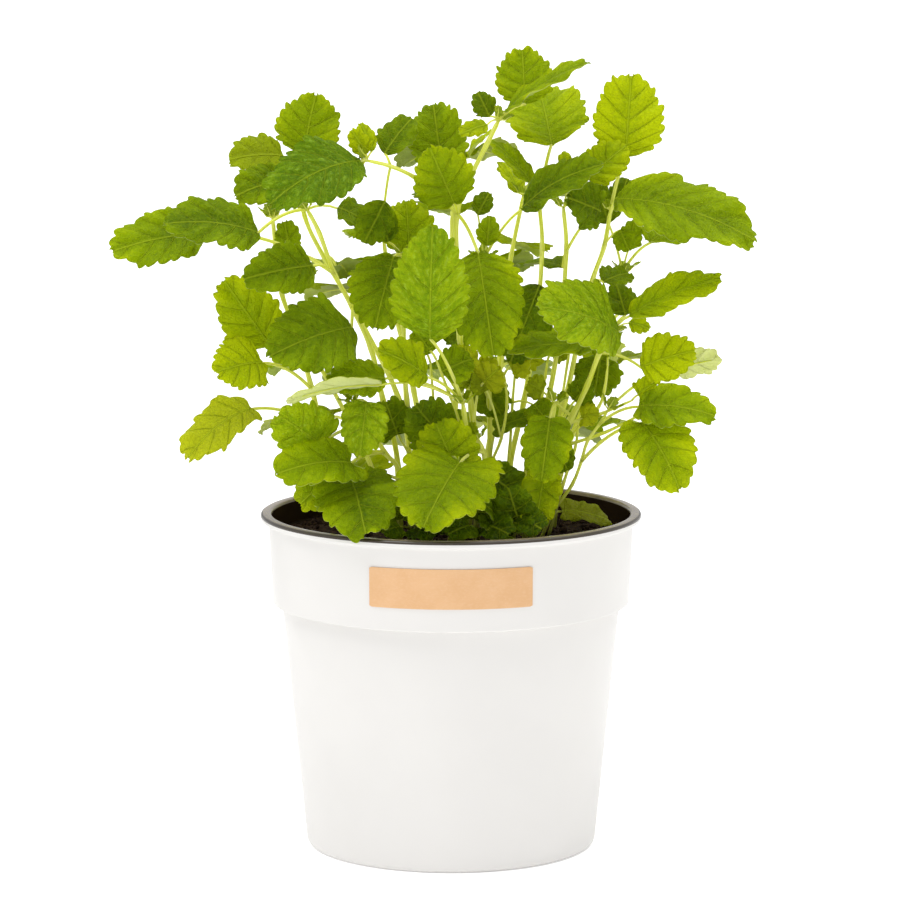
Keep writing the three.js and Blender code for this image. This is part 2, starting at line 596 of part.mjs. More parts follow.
// One leaf: a blade with a toothed margin on both sides of its midrib, and the stalk that arches to
// its base from the stem, in one closed body
function leafSolid(leaf, from) {
  const width = leaf[3];
  const countFor = (table) => table.find(([least]) => width > least)[1];
  const teeth = countFor(TEETH);
  const ribs = countFor(RIB_FACETS);
  const surface = bladeSurface(leaf);
  const margin = [];
  for (let i = 1; i < 2 * teeth; i += 1) {
    const share = (i + (i % 2 ? CREST_LEAN : 0)) / (2 * teeth);
    const [along, across] = halfOutline(leaf, share);
    margin.push([along, across * (i % 2 ? CREST : NOTCH)]);
  }
  const outline = [
    [0, STALK_HALF_WIDTH],
    ...margin,
    [1, 0],
    ...margin.map(([along, across]) => [along, -across]).reverse(),
    [0, -STALK_HALF_WIDTH],
  ];
  const flat = [...outline];
  for (let i = 1; i < ribs; i += 1) flat.push([i / ribs, 0]);
  const places = [];
  for (const lift of [BLADE_THICKNESS / 2, -BLADE_THICKNESS / 2]) {
    for (const [along, across] of flat) places.push(surface(along, across, lift));
  }

  const under = flat.length;
  const tip = margin.length + 1;
  const last = outline.length - 1;
  const triangles = [];
  const addFace = (a, b, c) => triangles.push(a, b, c, a + under, c + under, b + under);
  const ribPlace = (r) => (r === ribs ? tip : outline.length + r - 1);
  addFace(0, ribPlace(1), last);
  for (const left of [false, true]) {
    const side = (i) => (left ? last - i : i);
    const add = (a, b, c) => (left ? addFace(a, c, b) : addFace(a, b, c));
    let r = 1;
    for (let i = 0; i < tip; i += 1) {
      while (r < ribs - 1 && (r + 0.5) / ribs < i / tip) {
        add(ribPlace(r), side(i), ribPlace(r + 1));
        r += 1;
      }
      if (i < tip - 1 || ribPlace(r) !== tip) add(ribPlace(r), side(i), side(i + 1));
    }
  }
  for (let i = 0; i < last; i += 1) {
    triangles.push(i, under + i, under + i + 1, i, under + i + 1, i + 1);
  }

  const base = surface(0, 0, 0);
  const across = places[0].clone().sub(places[last]).normalize();
  const middle = from.clone().lerp(base, 0.5);
  middle.z += STALK_ARCH * from.distanceTo(base);
  const short = from.distanceTo(base) < SHORT_STALK;
  let ring = [0, last, under + last, under];
  for (const [point, next] of short ? [[from, base]] : [[middle, base], [from, middle]]) {
    const way = next.clone().sub(point).normalize();
    const side = across.clone().projectOnPlane(way).normalize();
    const lift = side.clone().cross(way);
    const start = places.length;
    for (const [wide, deep] of [[1, 1], [-1, 1], [-1, -1], [1, -1]]) {
      places.push(point.clone()
        .addScaledVector(side, wide * STALK_HALF_WIDTH)
        .addScaledVector(lift, deep * STALK_HALF_DEPTH));
    }
    const back = [start, start + 1, start + 2, start + 3];
    for (let k = 0; k < 4; k += 1) {
      const n = (k + 1) % 4;
      triangles.push(ring[k], ring[n], back[n], ring[k], back[n], back[k]);
    }
    ring = back;
  }
  triangles.push(ring[0], ring[1], ring[2], ring[0], ring[2], ring[3]);
  return solidOf(faceted(places.flatMap((place) => place.toArray()), triangles));
}

// All shoots of one leafy stem, joined in one body
function leafyStem(shoots) {
  const pieces = [];
  for (let i = 0; i < shoots.length; i += 2) {
    const points = shoots[i].map((point) => new THREE.Vector3(...point));
    const rootRadius = i ? STEM_TIP_RADIUS : STEM_ROOT_RADIUS;
    const radii = points.map((point, k) => (
      lerp(rootRadius, STEM_TIP_RADIUS, k / (points.length - 1))));
    pieces.push(solidOf(stemRod(points, radii)));
    for (const leaf of shoots[i + 1]) {
      pieces.push(leafSolid(leaf, points[leaf[0]]));
    }
  }
  return geometryOf(pieces.reduce((sum, piece) => sum.add(piece)).simplify(FLAT_ENOUGH));
}

// The plain hole that a stem stands in
function stemHole(route) {
  const [low, high] = route.slice(0, 2).map((point) => new THREE.Vector3(...point));
  const bottom = low.clone().lerp(high, -HOLE_CLEARANCE / low.distanceTo(high));
  const wide = STEM_ROOT_RADIUS + HOLE_CLEARANCE * Math.SQRT2;
  return solidOf(stemRod([bottom, high], [wide, wide]));
}

const materials = {
  pot: { color: 0xf4f2ee, roughness: 0.45, metalness: 0 },
  soil: { color: 0x1f150e, roughness: 1, metalness: 0 },
  label: { color: 0xf0c396, roughness: 0.75, metalness: 0 },
  plant: { color: 0x6f9a14, roughness: 0.6, metalness: 0 },
};

const pottedPlant = new THREE.Group();

function addPart(name, geometry, material) {
  const mesh = new THREE.Mesh(geometry, new THREE.MeshStandardMaterial(material));
  mesh.name = name;
  pottedPlant.add(mesh);
}

const draw = seededDraw(BACK_SEED);
const stems = [...FRONT_STEMS, ...BACK_STEMS.map((row, k) => backStem(row, k, draw))];
addPart('pot', potGeometry(), materials.pot);
addPart('soil', soilGeometry(stems.map(([, shoots]) => stemHole(shoots[0]))), materials.soil);
addPart('label', labelGeometry(), materials.label);
for (const [name, shoots] of stems) addPart(name, leafyStem(shoots), materials.plant);

export default pottedPlant;
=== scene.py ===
"""A lemon balm in its nursery pot: the fine leaves, stems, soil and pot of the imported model.

Sizes are in millimetres, and a mesh turns them to metres when it is made.
"""

import functools
import math

import bmesh
import bpy
import numpy as np
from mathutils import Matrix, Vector, noise


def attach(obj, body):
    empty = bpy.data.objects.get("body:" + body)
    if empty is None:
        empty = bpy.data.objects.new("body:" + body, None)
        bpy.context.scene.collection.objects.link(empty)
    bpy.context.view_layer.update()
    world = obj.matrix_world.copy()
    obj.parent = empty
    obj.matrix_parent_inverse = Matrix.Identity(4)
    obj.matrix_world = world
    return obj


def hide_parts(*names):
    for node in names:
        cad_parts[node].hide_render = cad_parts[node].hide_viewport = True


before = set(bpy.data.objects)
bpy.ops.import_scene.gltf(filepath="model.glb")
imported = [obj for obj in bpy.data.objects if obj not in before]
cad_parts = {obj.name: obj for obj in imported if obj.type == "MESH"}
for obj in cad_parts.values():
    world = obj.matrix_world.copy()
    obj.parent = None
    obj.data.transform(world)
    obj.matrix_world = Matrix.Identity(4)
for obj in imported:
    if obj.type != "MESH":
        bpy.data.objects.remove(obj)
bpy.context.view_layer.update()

MM = 0.001

# The camera stands where the photograph was taken from, looking a little down. Its place and aim
# are in metres.
CAMERA_PLACE = (0, -1.40, 0.337)
CAMERA_AIM = (0, 0, 0.136)
CAMERA_REACH = 20
FLOOR_SIZE = 60000
FLOOR_GLOW = 0.2
SKY_STRENGTH = 0.74
SUN_ANGLE = 35
SUNS = (("left", (-0.45, -0.25, 1.0), 1.45), ("right", (0.4, 0.2, 1.0), 1.2))
IMAGE_WIDTH = 900
FOCAL_PIXELS = 4143
SENSOR_WIDTH = 36
POT_COLUMN = 451

# Pot
POT_HEIGHT = 115
RIM_RADIUS = 65
RIM_INNER_RADIUS = 61.2
RIM_ROUND = 1.1
LIP_DROP = 2.7
LIP_SIDE_AT = 4
LIP_TOP_AT = 7
COLLAR_TOP_RADIUS = 62.4
COLLAR_FOOT_RADIUS = 61
COLLAR_FOOT_Z = 84.2
STEP_RADIUS = 57.8
STEP_Z = 83.6
STEP_ROUND = 1.1
STEP_CORNER = (0.06, 0.6)
COLLAR_CORNER = 0.15
EDGE_RISE = 0.3
BASE_RADIUS = 49.6
BASE_ROUND = 1.2
WALL = 1.2
FOOT_OUTER_RADIUS = 48.5
FOOT_INNER_RADIUS = 36
FOOT_RECESS = 3
FLOOR_SLOPE = 3
FLOOR_SHIFT = 0.5
INNER_STEP_RISE = 1.3
INNER_COLLAR_RISE = 1
HUB_RADIUS = 11
POT_SEGMENTS = 180
DRAIN_RADIUS = 4
DRAIN_RING_RADIUS = 22
DRAIN_COUNT = 5


# The pot's plastics, as the profile meets them: name, colour, roughness, mottle and gloss
PLASTICS = (
    ("pot_white", (0.70, 0.686, 0.666), 0.38, 0.98, 0.12),
    ("pot_lip_side", (0.04, 0.029, 0.017), 0.3, 0.85, 0.6),
    # The lip's top is painted paler than its side: painted reflection of the bright sky glancing off it.
    ("pot_lip_top_painted_reflection", (0.24, 0.185, 0.13), 0.15, 0.85, 0.5),
    ("pot_inside", (0.028, 0.017, 0.010), 0.5, 0.8, 0.0),
)

# Label
LABEL_WIDTH = 55.7
LABEL_BOTTOM_Z = 91.9
LABEL_TOP_Z = 105.3
LABEL_OFFSET = 0.06
LABEL_THICKNESS = 0.3
LABEL_CORNER = 0.4
LABEL_CELLS = (64, 14)

# Soil
SOIL_Z = 107
SOIL_GAP = 0.3
SOIL_FOOT_SHIFT = 1
SOIL_FADE = 4
SOIL_EDGE_RADIUS = 60.5
SOIL_RINGS = 44
SOIL_SEGMENTS = 150
SOIL_SEED = 77
CRUMB_COUNT = 1300
CRUMB_SIZES = (0.35, 1.5)
CRUMB_STRETCHES = (0.6, 1.3)
CRUMB_MARGIN = 2.5
CRUMB_RISE = 0.2
LARGE_CRUMB = 0.8

# Stems and leaf stalks
STEM_RADII = (1.1, 0.68)
SIDE_SHOOT_RADII = (0.8, 0.6)
FINE_SHOOT_RADII = (0.62, 0.42)
STEM_SCALES = {
    "leafy_stem_diagonal": 1.1,
    "leafy_stem_centre_front": 1.15,
    "leafy_stem_centre_tall": 1.1,
    "leafy_stem_right_low": 0.65,
    "leafy_sprout_right": 0.7,
    "leafy_sprout_left": 0.7,
}
STEM_SEED = 1000
STEM_SIDES = 16
STEM_STEP = 2.5
STEM_END = 0.6
STEM_FACING = (0.3, -1, 0)
STEM_CORNER = 0.1
NODE_SWELL = 0.22
NODE_LENGTH = 2.2
STALK_RADIUS = 0.6
STALK_SIDES = 8
STALK_ARCH = 0.1
STALK_STEP = 2.5
STALK_GROOVE = 0.3
STALK_TAPER = (1.1, 0.9)
STALK_DEPTH = 0.3
MIDRIB_SPAN = (0.06, 0.82)
MIDRIB_STEP = 5
MIDRIB_DEPTH = 0.42
MIDRIB_START_SHARE = 0.75
MIDRIB_TIP_RADIUS = 0.12
# Widths of blades, and the share of its full radius that the stalk of each has
STALK_SHARES = ((4, 20), (0.5, 1))

# Blades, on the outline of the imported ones
BLADE_FOLD = 0.22
FOLD_ROUND = 1.4
RECURVE = 0.011
BLADE_THICKNESS = 0.34
LOBE_LEAST = 1.5
LOBE_PER_WIDTH = 0.15
LOBE_FADE = 8
WEDGE_LOBE = 0.6
HEART_Z = 140
WEDGE_Z = 165
WIDEST_AT = (0.42, 0.37)
BASE_FULLNESS = (0.76, 0.62)
TIP_FULLNESS = (0.56, 0.39)
TIP_SPREAD = 0.07
TWIST = 0.15
TOOTH_DEPTHS = (0.4, 0.055)
TOOTH_PITCH = 2.75
TOOTH_PEAK = 0.62
TOOTH_LEAN = 0.35
TOOTH_SIZES = (0.5, 1.35)
TOOTH_SHIFT = 0.22
TOOTH_ROWS = 6
TOOTH_ROUND = 0.75
TOOTH_REACH = 9
END_TOOTH = 0.6
PLAIN_SHARES = (0.2, 0.12)
PLAIN_ROWS = 7
VEINS_PER_TOOTH = 0.6
VEIN_LEAN = 2.2
VEIN_CURVE = 1.25
COLUMN_WIDTH = 0.95
COLUMN_SPREAD = 0.92
PILLOW = 0.14
PILLOW_PITCH = 6
MIDRIB_HOLLOW = 1.3
CELL_SIZE = 2.3
CELL_HEIGHT = 0.42
CELL_STEEPNESS = 1.3
CELL_ROUND = 0.7
CELL_SHIFT = 0.4
FULL_RELIEF_WIDTH = 14
RIDGE_HEIGHT = 0.35
RIDGE_HALF_WIDTH = 0.6
RIPPLE = 0.055
RIPPLE_WAVES = ((2.1, 1), (4.7, 0.5))
SINUS_HALF_WIDTH = 0.6

# How a leaf looks: from dark 0 to light 1, from cool 0 to yellow 1, and how pale it is below.
# Light is the leaf's own green together with painted shade and light for where it sits in the clump;
# shaded is painted shade for leaves low down among the others.
LOOKS = {
    "shaded": (-0.22, 0.25, 0.4),
    "dark": (0.02, 0.25, 0.4),
    "deep": (0.22, 0.2, 0.4),
    "cool": (0.2, 0.1, 0.4),
    "mid": (0.42, 0.28, 0.4),
    "fresh": (0.6, 0.3, 0.4),
    "light": (0.82, 0.38, 0.4),
    "bright": (1.0, 0.35, 0.4),
    "blue": (0.75, 0.0, 0.5),
    "deep_blue": (-0.12, 0.0, 0.5),
    "olive": (0.2, 0.7, 0.4),
    "dull": (-0.45, 0.8, 0.4),
    "yellow": (0.78, 0.95, 0.4),
    "pale": (0.9, 0.5, 1.0),
    "young": (0.6, 0.35, 0.1),
}

# Ways that a leaf's upper side often faces, from upright to nearly level
UPRIGHT = (0, -1, 0.2)
STEEP = (0, -1, 0.3)
LEANING = (0, -0.9, 0.4)
SLANTED = (0, -0.9, 0.5)
HALFWAY = (0, -0.8, 0.6)
LOW = (0, -0.7, 0.7)
FLAT = (0, -0.6, 0.8)

# A leaf's greens from dark to light, each with its place between them
LEAF_SHADES = (
    (0.0, (0.02, 0.055, 0.0, 1)),
    (0.25, (0.072, 0.145, 0.0, 1)),
    (0.625, (0.245, 0.355, 0.0, 1)),
    (1.0, (0.53, 0.61, 0.001, 1)),
)

# Each leafy stem: its name, then shoots of a route and leaves. A leaf is the point of the route that
# it springs from, its blade's base and tip, its width, the way its upper side faces, the degrees
# that it arches through from base to tip, and its look.
FRONT_STEMS = [
    ("leafy_stem_left_tall", [
        [(-20, -4, 92), (-18, -5, 130), (-23, -8, 154), (-27, -11, 172), (-33, -14, 186),
         (-39, -17, 198), (-44, -19, 212), (-48, -20, 220)],
        [(5, (-83, -22, 212), (-112, -32, 207), 20, (0, -0.75, 0.65), 30, "deep"),
         (7, (-64, -30, 213), (-94, -42, 217), 21, LOW, 40, "deep"),
         (5, (-46, -28, 202), (-68, -42, 199), 16, STEEP, 35, "deep"),
         (5, (-54, -13, 205), (-56, -10, 215), 8, UPRIGHT, 20, "mid"),
         (7, (-38, -14, 220), (-27, -12, 213), 12, FLAT, 40, "dark"),
         (4, (-33, -26, 181), (-60, -40, 173), 26, (0, -0.85, 0.5), 45, "cool")],
    ]),
    ("leafy_stem_left_low", [
        [(-34, 2, 92), (-41, -4, 126), (-44, -8, 144), (-47, -10, 158), (-52, -12, 177),
         (-57, -12, 191), (-59, -10, 206), (-60, -9, 216)],
        [(4, (-61, -16, 174), (-76, -18, 196), 19, (-0.1, -1, 0.3), 20, "light"),
         (3, (-63, -24, 169), (-78, -34, 167), 19, (-0.1, -0.9, 0.5), 35, "bright"),
         (2, (-67, -20, 153), (-88, -26, 137), 20, (-0.3, -0.55, 0.8), 50, "yellow"),
         (7, (-56, -10, 229), (-72, -16, 224), 15, HALFWAY, 35, "dark"),
         (5, (-52, 14, 191), (-57, 40, 192), 15, (-0.2, 0.2, 1), 35, "mid")],
    ]),
    ("leafy_stem_upper_left", [
        [(-14, 14, 92), (-14, 13, 127), (-18, 12, 152), (-31, 12, 179), (-43, 12, 200),
         (-50, 12, 215), (-52, 12, 231)],
        [(6, (-50, 12, 236), (-46, 14, 256), 21, (-0.2, -1, 0.3), 30, "fresh"),
         (6, (-57, 6, 236), (-75, 0, 235), 15, HALFWAY, 40, "olive"),
         (6, (-46, 26, 232), (-41, 48, 228), 15, (0.2, 0.2, 1), 35, "mid"),
         (4, (-40, 28, 197), (-36, 54, 190), 17, (0, 0.3, 1), 35, "mid")],
    ]),
    ("leafy_stem_centre_tall", [
        [(4, 0, 92), (8, -3, 130), (7, -8, 151), (3, -12, 176), (2, -14, 200),
         (2, -14, 218), (6, -12, 229), (12, -10, 241), (16, -9, 249)],
        [(8, (18, -12, 252), (46, -22, 269), 14, (-0.5, -0.15, 0.8), 20, "mid"),
         (8, (25, -2, 254), (24, 3, 272), 18, STEEP, 25, "mid"),
         (8, (12, -16, 248), (3, -22, 245), 6, HALFWAY, 20, "light"),
         (8, (13, -5, 250), (9, -2, 258), 7, UPRIGHT, 20, "dark"),
         (5, (-3, -8, 233), (-6, -3, 254), 18, UPRIGHT, 25, "deep"),
         (5, (1, -20, 222), (-7, -27, 241), 19, (-0.1, -1, 0.3), 30, "mid"),
         (5, (-3, -7, 222), (-11, 1, 226), 11, FLAT, 30, "dark"),
         (5, (9, -26, 206), (14, -38, 173), 24, (0, -1, 0.35), 30, "mid")],
        [(2, -14, 218), (-4, -19, 225), (-12, -24, 231), (-20, -28, 235), (-28, -29, 237)],
        [(4, (-30, -32, 237), (-59, -46, 224), 25, (0, -0.65, 0.75), 55, "deep_blue"),
         (4, (-28, -27, 239), (-33, -28, 247), 6, STEEP, 20, "light"),
         (4, (-26, -27, 240), (-30, -24, 249), 5, (0.3, -1, 0.3), 20, "light"),
         (3, (-22, -24, 239), (-13, -16, 250), 11, LOW, 25, "dark"),
         (3, (-22, -23, 223), (-29, -23, 209), 11, (0, -1, 0), 25, "dark")],
    ]),
    ("leafy_stem_centre_front", [
        [(2, -22, 92), (6, -26, 133), (5, -29, 147), (4, -31, 156)],
        [(3, (-7, -42, 179), (-6, -50, 217), 23, (-0.05, -1, 0.2), 30, "blue"),
         (3, (-8, -38, 166), (-24, -48, 176), 15, HALFWAY, 35, "fresh"),
         (3, (-23, -42, 164), (-54, -55, 160), 8, (0, 0.6, 0.8), 25, "pale"),
         (3, (-22, -34, 165), (-41, -42, 164), 13, HALFWAY, 35, "mid"),
         (3, (-3, -32, 167), (7, -30, 171), 12, LEANING, 25, "mid"),
         (1, (-1, -23, 141), (-12, -20, 154), 18, UPRIGHT, 25, "dark")],
    ]),
    ("leafy_stem_centre_left", [
        [(-10, -6, 92), (-11, -8, 130), (-15, -11, 155), (-16, -16, 180), (-16, -20, 204)],
        [(4, (-19, -28, 205), (-25, -36, 182), 23, (-0.1, -1, 0.3), 30, "deep"),
         (4, (-14, -14, 205), (-15, -11, 222), 17, STEEP, 25, "fresh"),
         (4, (-21, -18, 209), (-25, -14, 222), 9, HALFWAY, 25, "dark")],
    ]),
    ("leafy_stem_centre_right", [
        [(10, 4, 92), (13, 3, 129), (13, 0, 153), (12, -4, 178), (11, -8, 202)],
        [(4, (24, -15, 220), (50, -24, 235), 16, FLAT, 40, "dark"),
         (4, (12, -11, 207), (13, -10, 217), 7, UPRIGHT, 20, "mid"),
         (3, (8, 3, 174), (-3, 6, 178), 12, (0, -0.8, 0.5), 25, "dark"),
         (2, (11, -8, 160), (13, -11, 169), 9, SLANTED, 25, "yellow"),
         (4, (9, -5, 217), (13, -2, 224), 6, SLANTED, 20, "dark"),
         (1, (15, 0, 143), (29, -2, 148), 10, (0, -0.5, 0.85), 25, "dark"),
         (2, (9, 3, 160), (17, 1, 148), 13, LEANING, 25, "dark")],
    ]),
    ("leafy_stem_right_back", [
        [(16, 8, 92), (20, 8, 128), (25, 7, 152), (29, 6, 177), (31, 5, 204), (30, 5, 220)],
        [(5, (27, 6, 227), (13, 13, 241), 10, (0.2, -0.4, 0.9), 25, "mid"),
         (5, (34, 4, 240), (30, 30, 258), 26, FLAT, 25, "fresh"),
         (4, (30, -4, 193), (20, -14, 168), 16, UPRIGHT, 25, "dark")],
    ]),
    ("leafy_stem_right_middle", [
        [(22, 0, 92), (26, 0, 129), (33, 0, 153), (37, 0, 177), (39, -2, 204), (38, -3, 219)],
        [(4, (50, -14, 219), (39, -22, 224), 15, STEEP, 25, "dark"),
         (5, (46, -6, 229), (59, -3, 240), 13, (-0.1, -0.9, 0.4), 25, "light"),
         (4, (38, 8, 198), (24, 22, 197), 13, (0, -0.15, 1), 30, "dark"),
         (5, (40, -2, 227), (38, 0, 238), 5, STEEP, 20, "light")],
    ]),
    ("leafy_stem_right_tall", [
        [(28, 2, 92), (32, 2, 129), (39, 2, 153), (44, 2, 177), (48, 1, 194), (52, 0, 206),
         (54, 0, 218)],
        [(6, (59, 2, 236), (61, 6, 263), 22, (0, -1, 0.25), 25, "light"),
         (5, (55, -13, 223), (101, -26, 210), 28, (0.1, -0.6, 0.8), 40, "mid"),
         (6, (57, 6, 219), (60, 10, 228), 8, STEEP, 20, "dark"),
         (5, (57, -7, 212), (60, -9, 205), 7, (0, -1, 0), 20, "mid"),
         (4, (52, 6, 193), (61, 14, 195), 10, FLAT, 25, "dark")],
    ]),
    ("leafy_stem_right_far", [
        [(34, 14, 92), (38, 14, 127), (48, 16, 155), (54, 18, 176), (59, 19, 195)],
        [(4, (54, 20, 212), (50, 21, 225), 11, LEANING, 25, "dark"),
         (4, (68, 12, 206), (83, 24, 212), 16, (0.2, -0.2, 1), 30, "mid"),
         (4, (61, 18, 203), (63, 18, 213), 7, LEANING, 25, "mid"),
         (3, (62, 32, 181), (71, 56, 180), 17, (0.2, 0.3, 1), 35, "mid")],
    ]),
    ("leafy_stem_diagonal", [
        [(26, -8, 92), (31, -10, 129), (36, -11, 139), (41, -12, 149), (46, -13, 160),
         (50, -14, 171), (54, -14, 178)],
        [(6, (56, -22, 179), (29, -38, 189), 28, (0, -0.75, 0.65), 40, "blue"),
         (6, (60, -16, 184), (90, -24, 197), 14, (0.1, -0.6, 0.8), 25, "fresh"),
         (6, (59, -7, 183), (56, -2, 193), 9, LEANING, 25, "dark"),
         (5, (47, -20, 174), (19, -28, 173), 14, (0, -0.5, 0.85), 30, "mid"),
         (5, (64, -13, 166), (82, -16, 172), 16, (0, -0.85, 0.5), 35, "bright"),
         (5, (51, 4, 168), (49, 8, 154), 15, UPRIGHT, 25, "dark"),
         (6, (60, -11, 181), (67, -12, 179), 5, SLANTED, 20, "light")],
    ]),
    ("leafy_stem_right_low", [
        [(24, -12, 92), (34, -12, 115), (41, -13, 126), (44, -14, 134), (46, -15, 141),
         (50, -16, 147), (53, -16, 152)],
        [(3, (64, -26, 149), (76, -36, 128), 21, (0.2, -0.95, 0.3), 60, "fresh"),
         (5, (63, -22, 154), (88, -32, 152), 16, (0.1, -0.75, 0.65), 40, "mid"),
         (6, (76, -3, 164), (91, -5, 168), 14, (0, 0.75, 0.6), 25, "pale"),
         (1, (38, -7, 116), (54, -3, 112), 11, (0, -0.5, 0.9), 30, "dull")],
    ]),
    ("leafy_stem_left_front", [
        [(-18, -18, 92), (-17, -24, 129), (-22, -28, 139), (-28, -32, 149), (-32, -34, 157)],
        [(4, (-28, -41, 158), (-30, -48, 141), 14, (0, -1, 0.25), 25, "blue"),
         (3, (-43, -36, 143), (-57, -45, 154), 19, (-0.2, -1, 0.4), 30, "blue"),
         (2, (-33, -44, 138), (-57, -56, 136), 17, LOW, 45, "mid"),
         (2, (-39, -38, 133), (-50, -42, 124), 13, LEANING, 35, "fresh"),
         (1, (-33, -40, 132), (-28, -61, 117), 26, (0, -0.55, 0.83), 30, "mid")],
    ]),
    ("leafy_stem_front", [
        [(8, -16, 92), (9, -20, 125), (11, -24, 132), (11, -28, 139), (9, -30, 144)],
        [(3, (3, -42, 138), (-9, -66, 120), 29, (0, -0.72, 0.7), 30, "fresh"),
         (4, (1, -37, 136), (-5, -35, 150), 19, (0, -1, 0.1), 20, "fresh"),
         (1, (13, -26, 131), (24, -30, 123), 14, HALFWAY, 25, "shaded")],
    ]),
    ("leafy_stem_right_front", [
        [(22, -20, 92), (27, -22, 121), (32, -22, 139), (35, -22, 155)],
        [(3, (33, -30, 151), (30, -38, 131), 15, UPRIGHT, 25, "mid"),
         (2, (31, -29, 131), (28, -36, 115), 12, STEEP, 25, "fresh"),
         (2, (36, -20, 140), (39, -21, 132), 8, (0, -0.9, 0.3), 20, "dark")],
    ]),
    ("leafy_sprout_right", [
        [(14, -32, 92), (15, -33, 115), (16, -35, 118)],
        [(2, (15, -38, 119), (11, -45, 124), 9, HALFWAY, 25, "shaded"),
         (2, (19, -35, 120), (25, -37, 125), 9, HALFWAY, 25, "mid"),
         (1, (15, -38, 117), (12, -48, 116), 9, HALFWAY, 25, "dark"),
         (1, (20, -38, 117), (26, -45, 116), 9, HALFWAY, 25, "shaded")],
    ]),
    ("leafy_sprout_left", [
        [(-8, -34, 92), (-8, -35, 115), (-7, -37, 118)],
        [(2, (-10, -37, 119), (-15, -39, 121), 9, HALFWAY, 25, "dark"),
         (2, (-4, -35, 119), (3, -33, 122), 9, HALFWAY, 25, "shaded"),
         (1, (-4, -40, 117), (2, -47, 117), 9, HALFWAY, 25, "dark")],
    ]),
]

# Thin young shoots that crowd between the stems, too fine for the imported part, each in its stem's piece
FINE_SHOOTS = {
    "leafy_stem_centre_left": [
        [(-5, 2, 104), (-6, 2, 135), (-6, 0, 152), (-7, 0, 166)],
        [(3, (-8, -1, 169), (-12, -4, 177), 10, LEANING, 25, "mid")],
        [(-11, -8, 130), (-14, -10, 136), (-17, -12, 141)],
        [(2, (-18, -12, 143), (-22, -11, 154), 14, UPRIGHT, 25, "dark")],
        [(3, -12, 104), (4, -13, 136), (4, -12, 161)],
        [(2, (4, -13, 164), (5, -15, 174), 9, STEEP, 20, "yellow")],
    ],
    "leafy_stem_centre_front": [
        [(-1, -20, 104), (2, -23, 130), (3, -25, 147), (-1, -28, 160), (-5, -31, 171)],
        [(4, (-7, -32, 174), (-12, -35, 181), 10, STEEP, 25, "mid")],
    ],
    "leafy_stem_centre_right": [
        [(5, -13, 104), (7, -14, 134), (8, -14, 150), (9, -13, 158)],
        [(3, (11, -14, 161), (16, -16, 166), 11, STEEP, 20, "yellow"),
         (3, (6, -13, 160), (2, -15, 165), 9, STEEP, 20, "olive")],
        [(12, -7, 104), (13, -8, 129), (17, -8, 141), (19, -8, 153), (18, -8, 163)],
        [(4, (20, -9, 166), (26, -12, 171), 12, SLANTED, 25, "yellow"),
         (2, (12, -12, 158), (9, -14, 165), 9, SLANTED, 20, "olive")],
    ],
    "leafy_stem_right_back": [
        [(17, 4, 104), (20, 4, 135), (21, 3, 152), (22, 2, 164)],
        [(3, (24, 1, 167), (30, -2, 173), 12, SLANTED, 25, "yellow"),
         (2, (28, -2, 152), (33, -4, 146), 9, SLANTED, 25, "mid")],
    ],
    "leafy_stem_right_middle": [
        [(24, 6, 104), (29, 7, 140), (31, 7, 152), (33, 6, 166)],
        [(3, (34, 5, 169), (40, 2, 173), 11, SLANTED, 25, "olive")],
        [(26, 0, 129), (31, -3, 137), (35, -5, 142), (40, -7, 151)],
        [(3, (42, -8, 154), (47, -9, 160), 9, LEANING, 25, "dark")],
    ],
    "leafy_stem_right_tall": [
        [(28, 8, 104), (36, 9, 140), (38, 9, 152), (40, 8, 166), (42, 8, 180)],
        [(4, (43, 8, 183), (47, 6, 192), 10, LEANING, 25, "mid")],
    ],
    "leafy_stem_diagonal": [
        [(36, -11, 139), (44, -9, 146), (50, -9, 152), (52, -9, 158), (53, -9, 166)],
        [(4, (53, -9, 169), (50, -8, 176), 8, LEANING, 25, "mid")],
        [(41, -12, 149), (37, -8, 152), (33, -6, 155)],
        [(2, (31, -6, 157), (26, -8, 160), 8, SLANTED, 25, "olive")],
    ],
    "leafy_sprout_right": [
        [(9, -36, 104), (9, -38, 111), (9, -40, 115)],
        [(2, (12, -44, 117), (19, -50, 115), 11, LOW, 30, "shaded"),
         (2, (6, -44, 117), (-1, -50, 115), 11, LOW, 30, "dark"),
         (1, (8, -37, 118), (12, -36, 128), 11, UPRIGHT, 25, "shaded")],
        [(20, -34, 104), (21, -36, 112), (22, -37, 116)],
        [(2, (24, -40, 118), (30, -46, 116), 10, LOW, 30, "shaded"),
         (2, (22, -39, 119), (19, -40, 129), 12, UPRIGHT, 25, "shaded"),
         (1, (18, -40, 114), (13, -47, 114), 10, LOW, 30, "dark")],
    ],
    "leafy_sprout_left": [
        [(-14, -34, 104), (-14, -36, 111), (-14, -38, 115)],
        [(2, (-11, -42, 116), (-5, -49, 115), 11, LOW, 30, "shaded"),
         (2, (-17, -41, 116), (-23, -46, 115), 10, LOW, 30, "dark"),
         (1, (-14, -37, 118), (-11, -36, 128), 11, UPRIGHT, 25, "shaded")],
    ],
    "leafy_stem_right_low": [
        [(39, -10, 139), (52, -14, 144), (64, -20, 151)],
        [(2, (66, -21, 153), (73, -24, 155), 9, HALFWAY, 25, "mid")],
        [(40, -12, 147), (50, -13, 150), (61, -15, 155)],
        [(2, (63, -15, 157), (69, -16, 161), 8, HALFWAY, 25, "light")],
        [(33, -12, 108), (38, -12, 126), (42, -11, 138), (43, -11, 146)],
        [(3, (44, -12, 149), (50, -14, 150), 8, HALFWAY, 25, "yellow")],
    ],
}

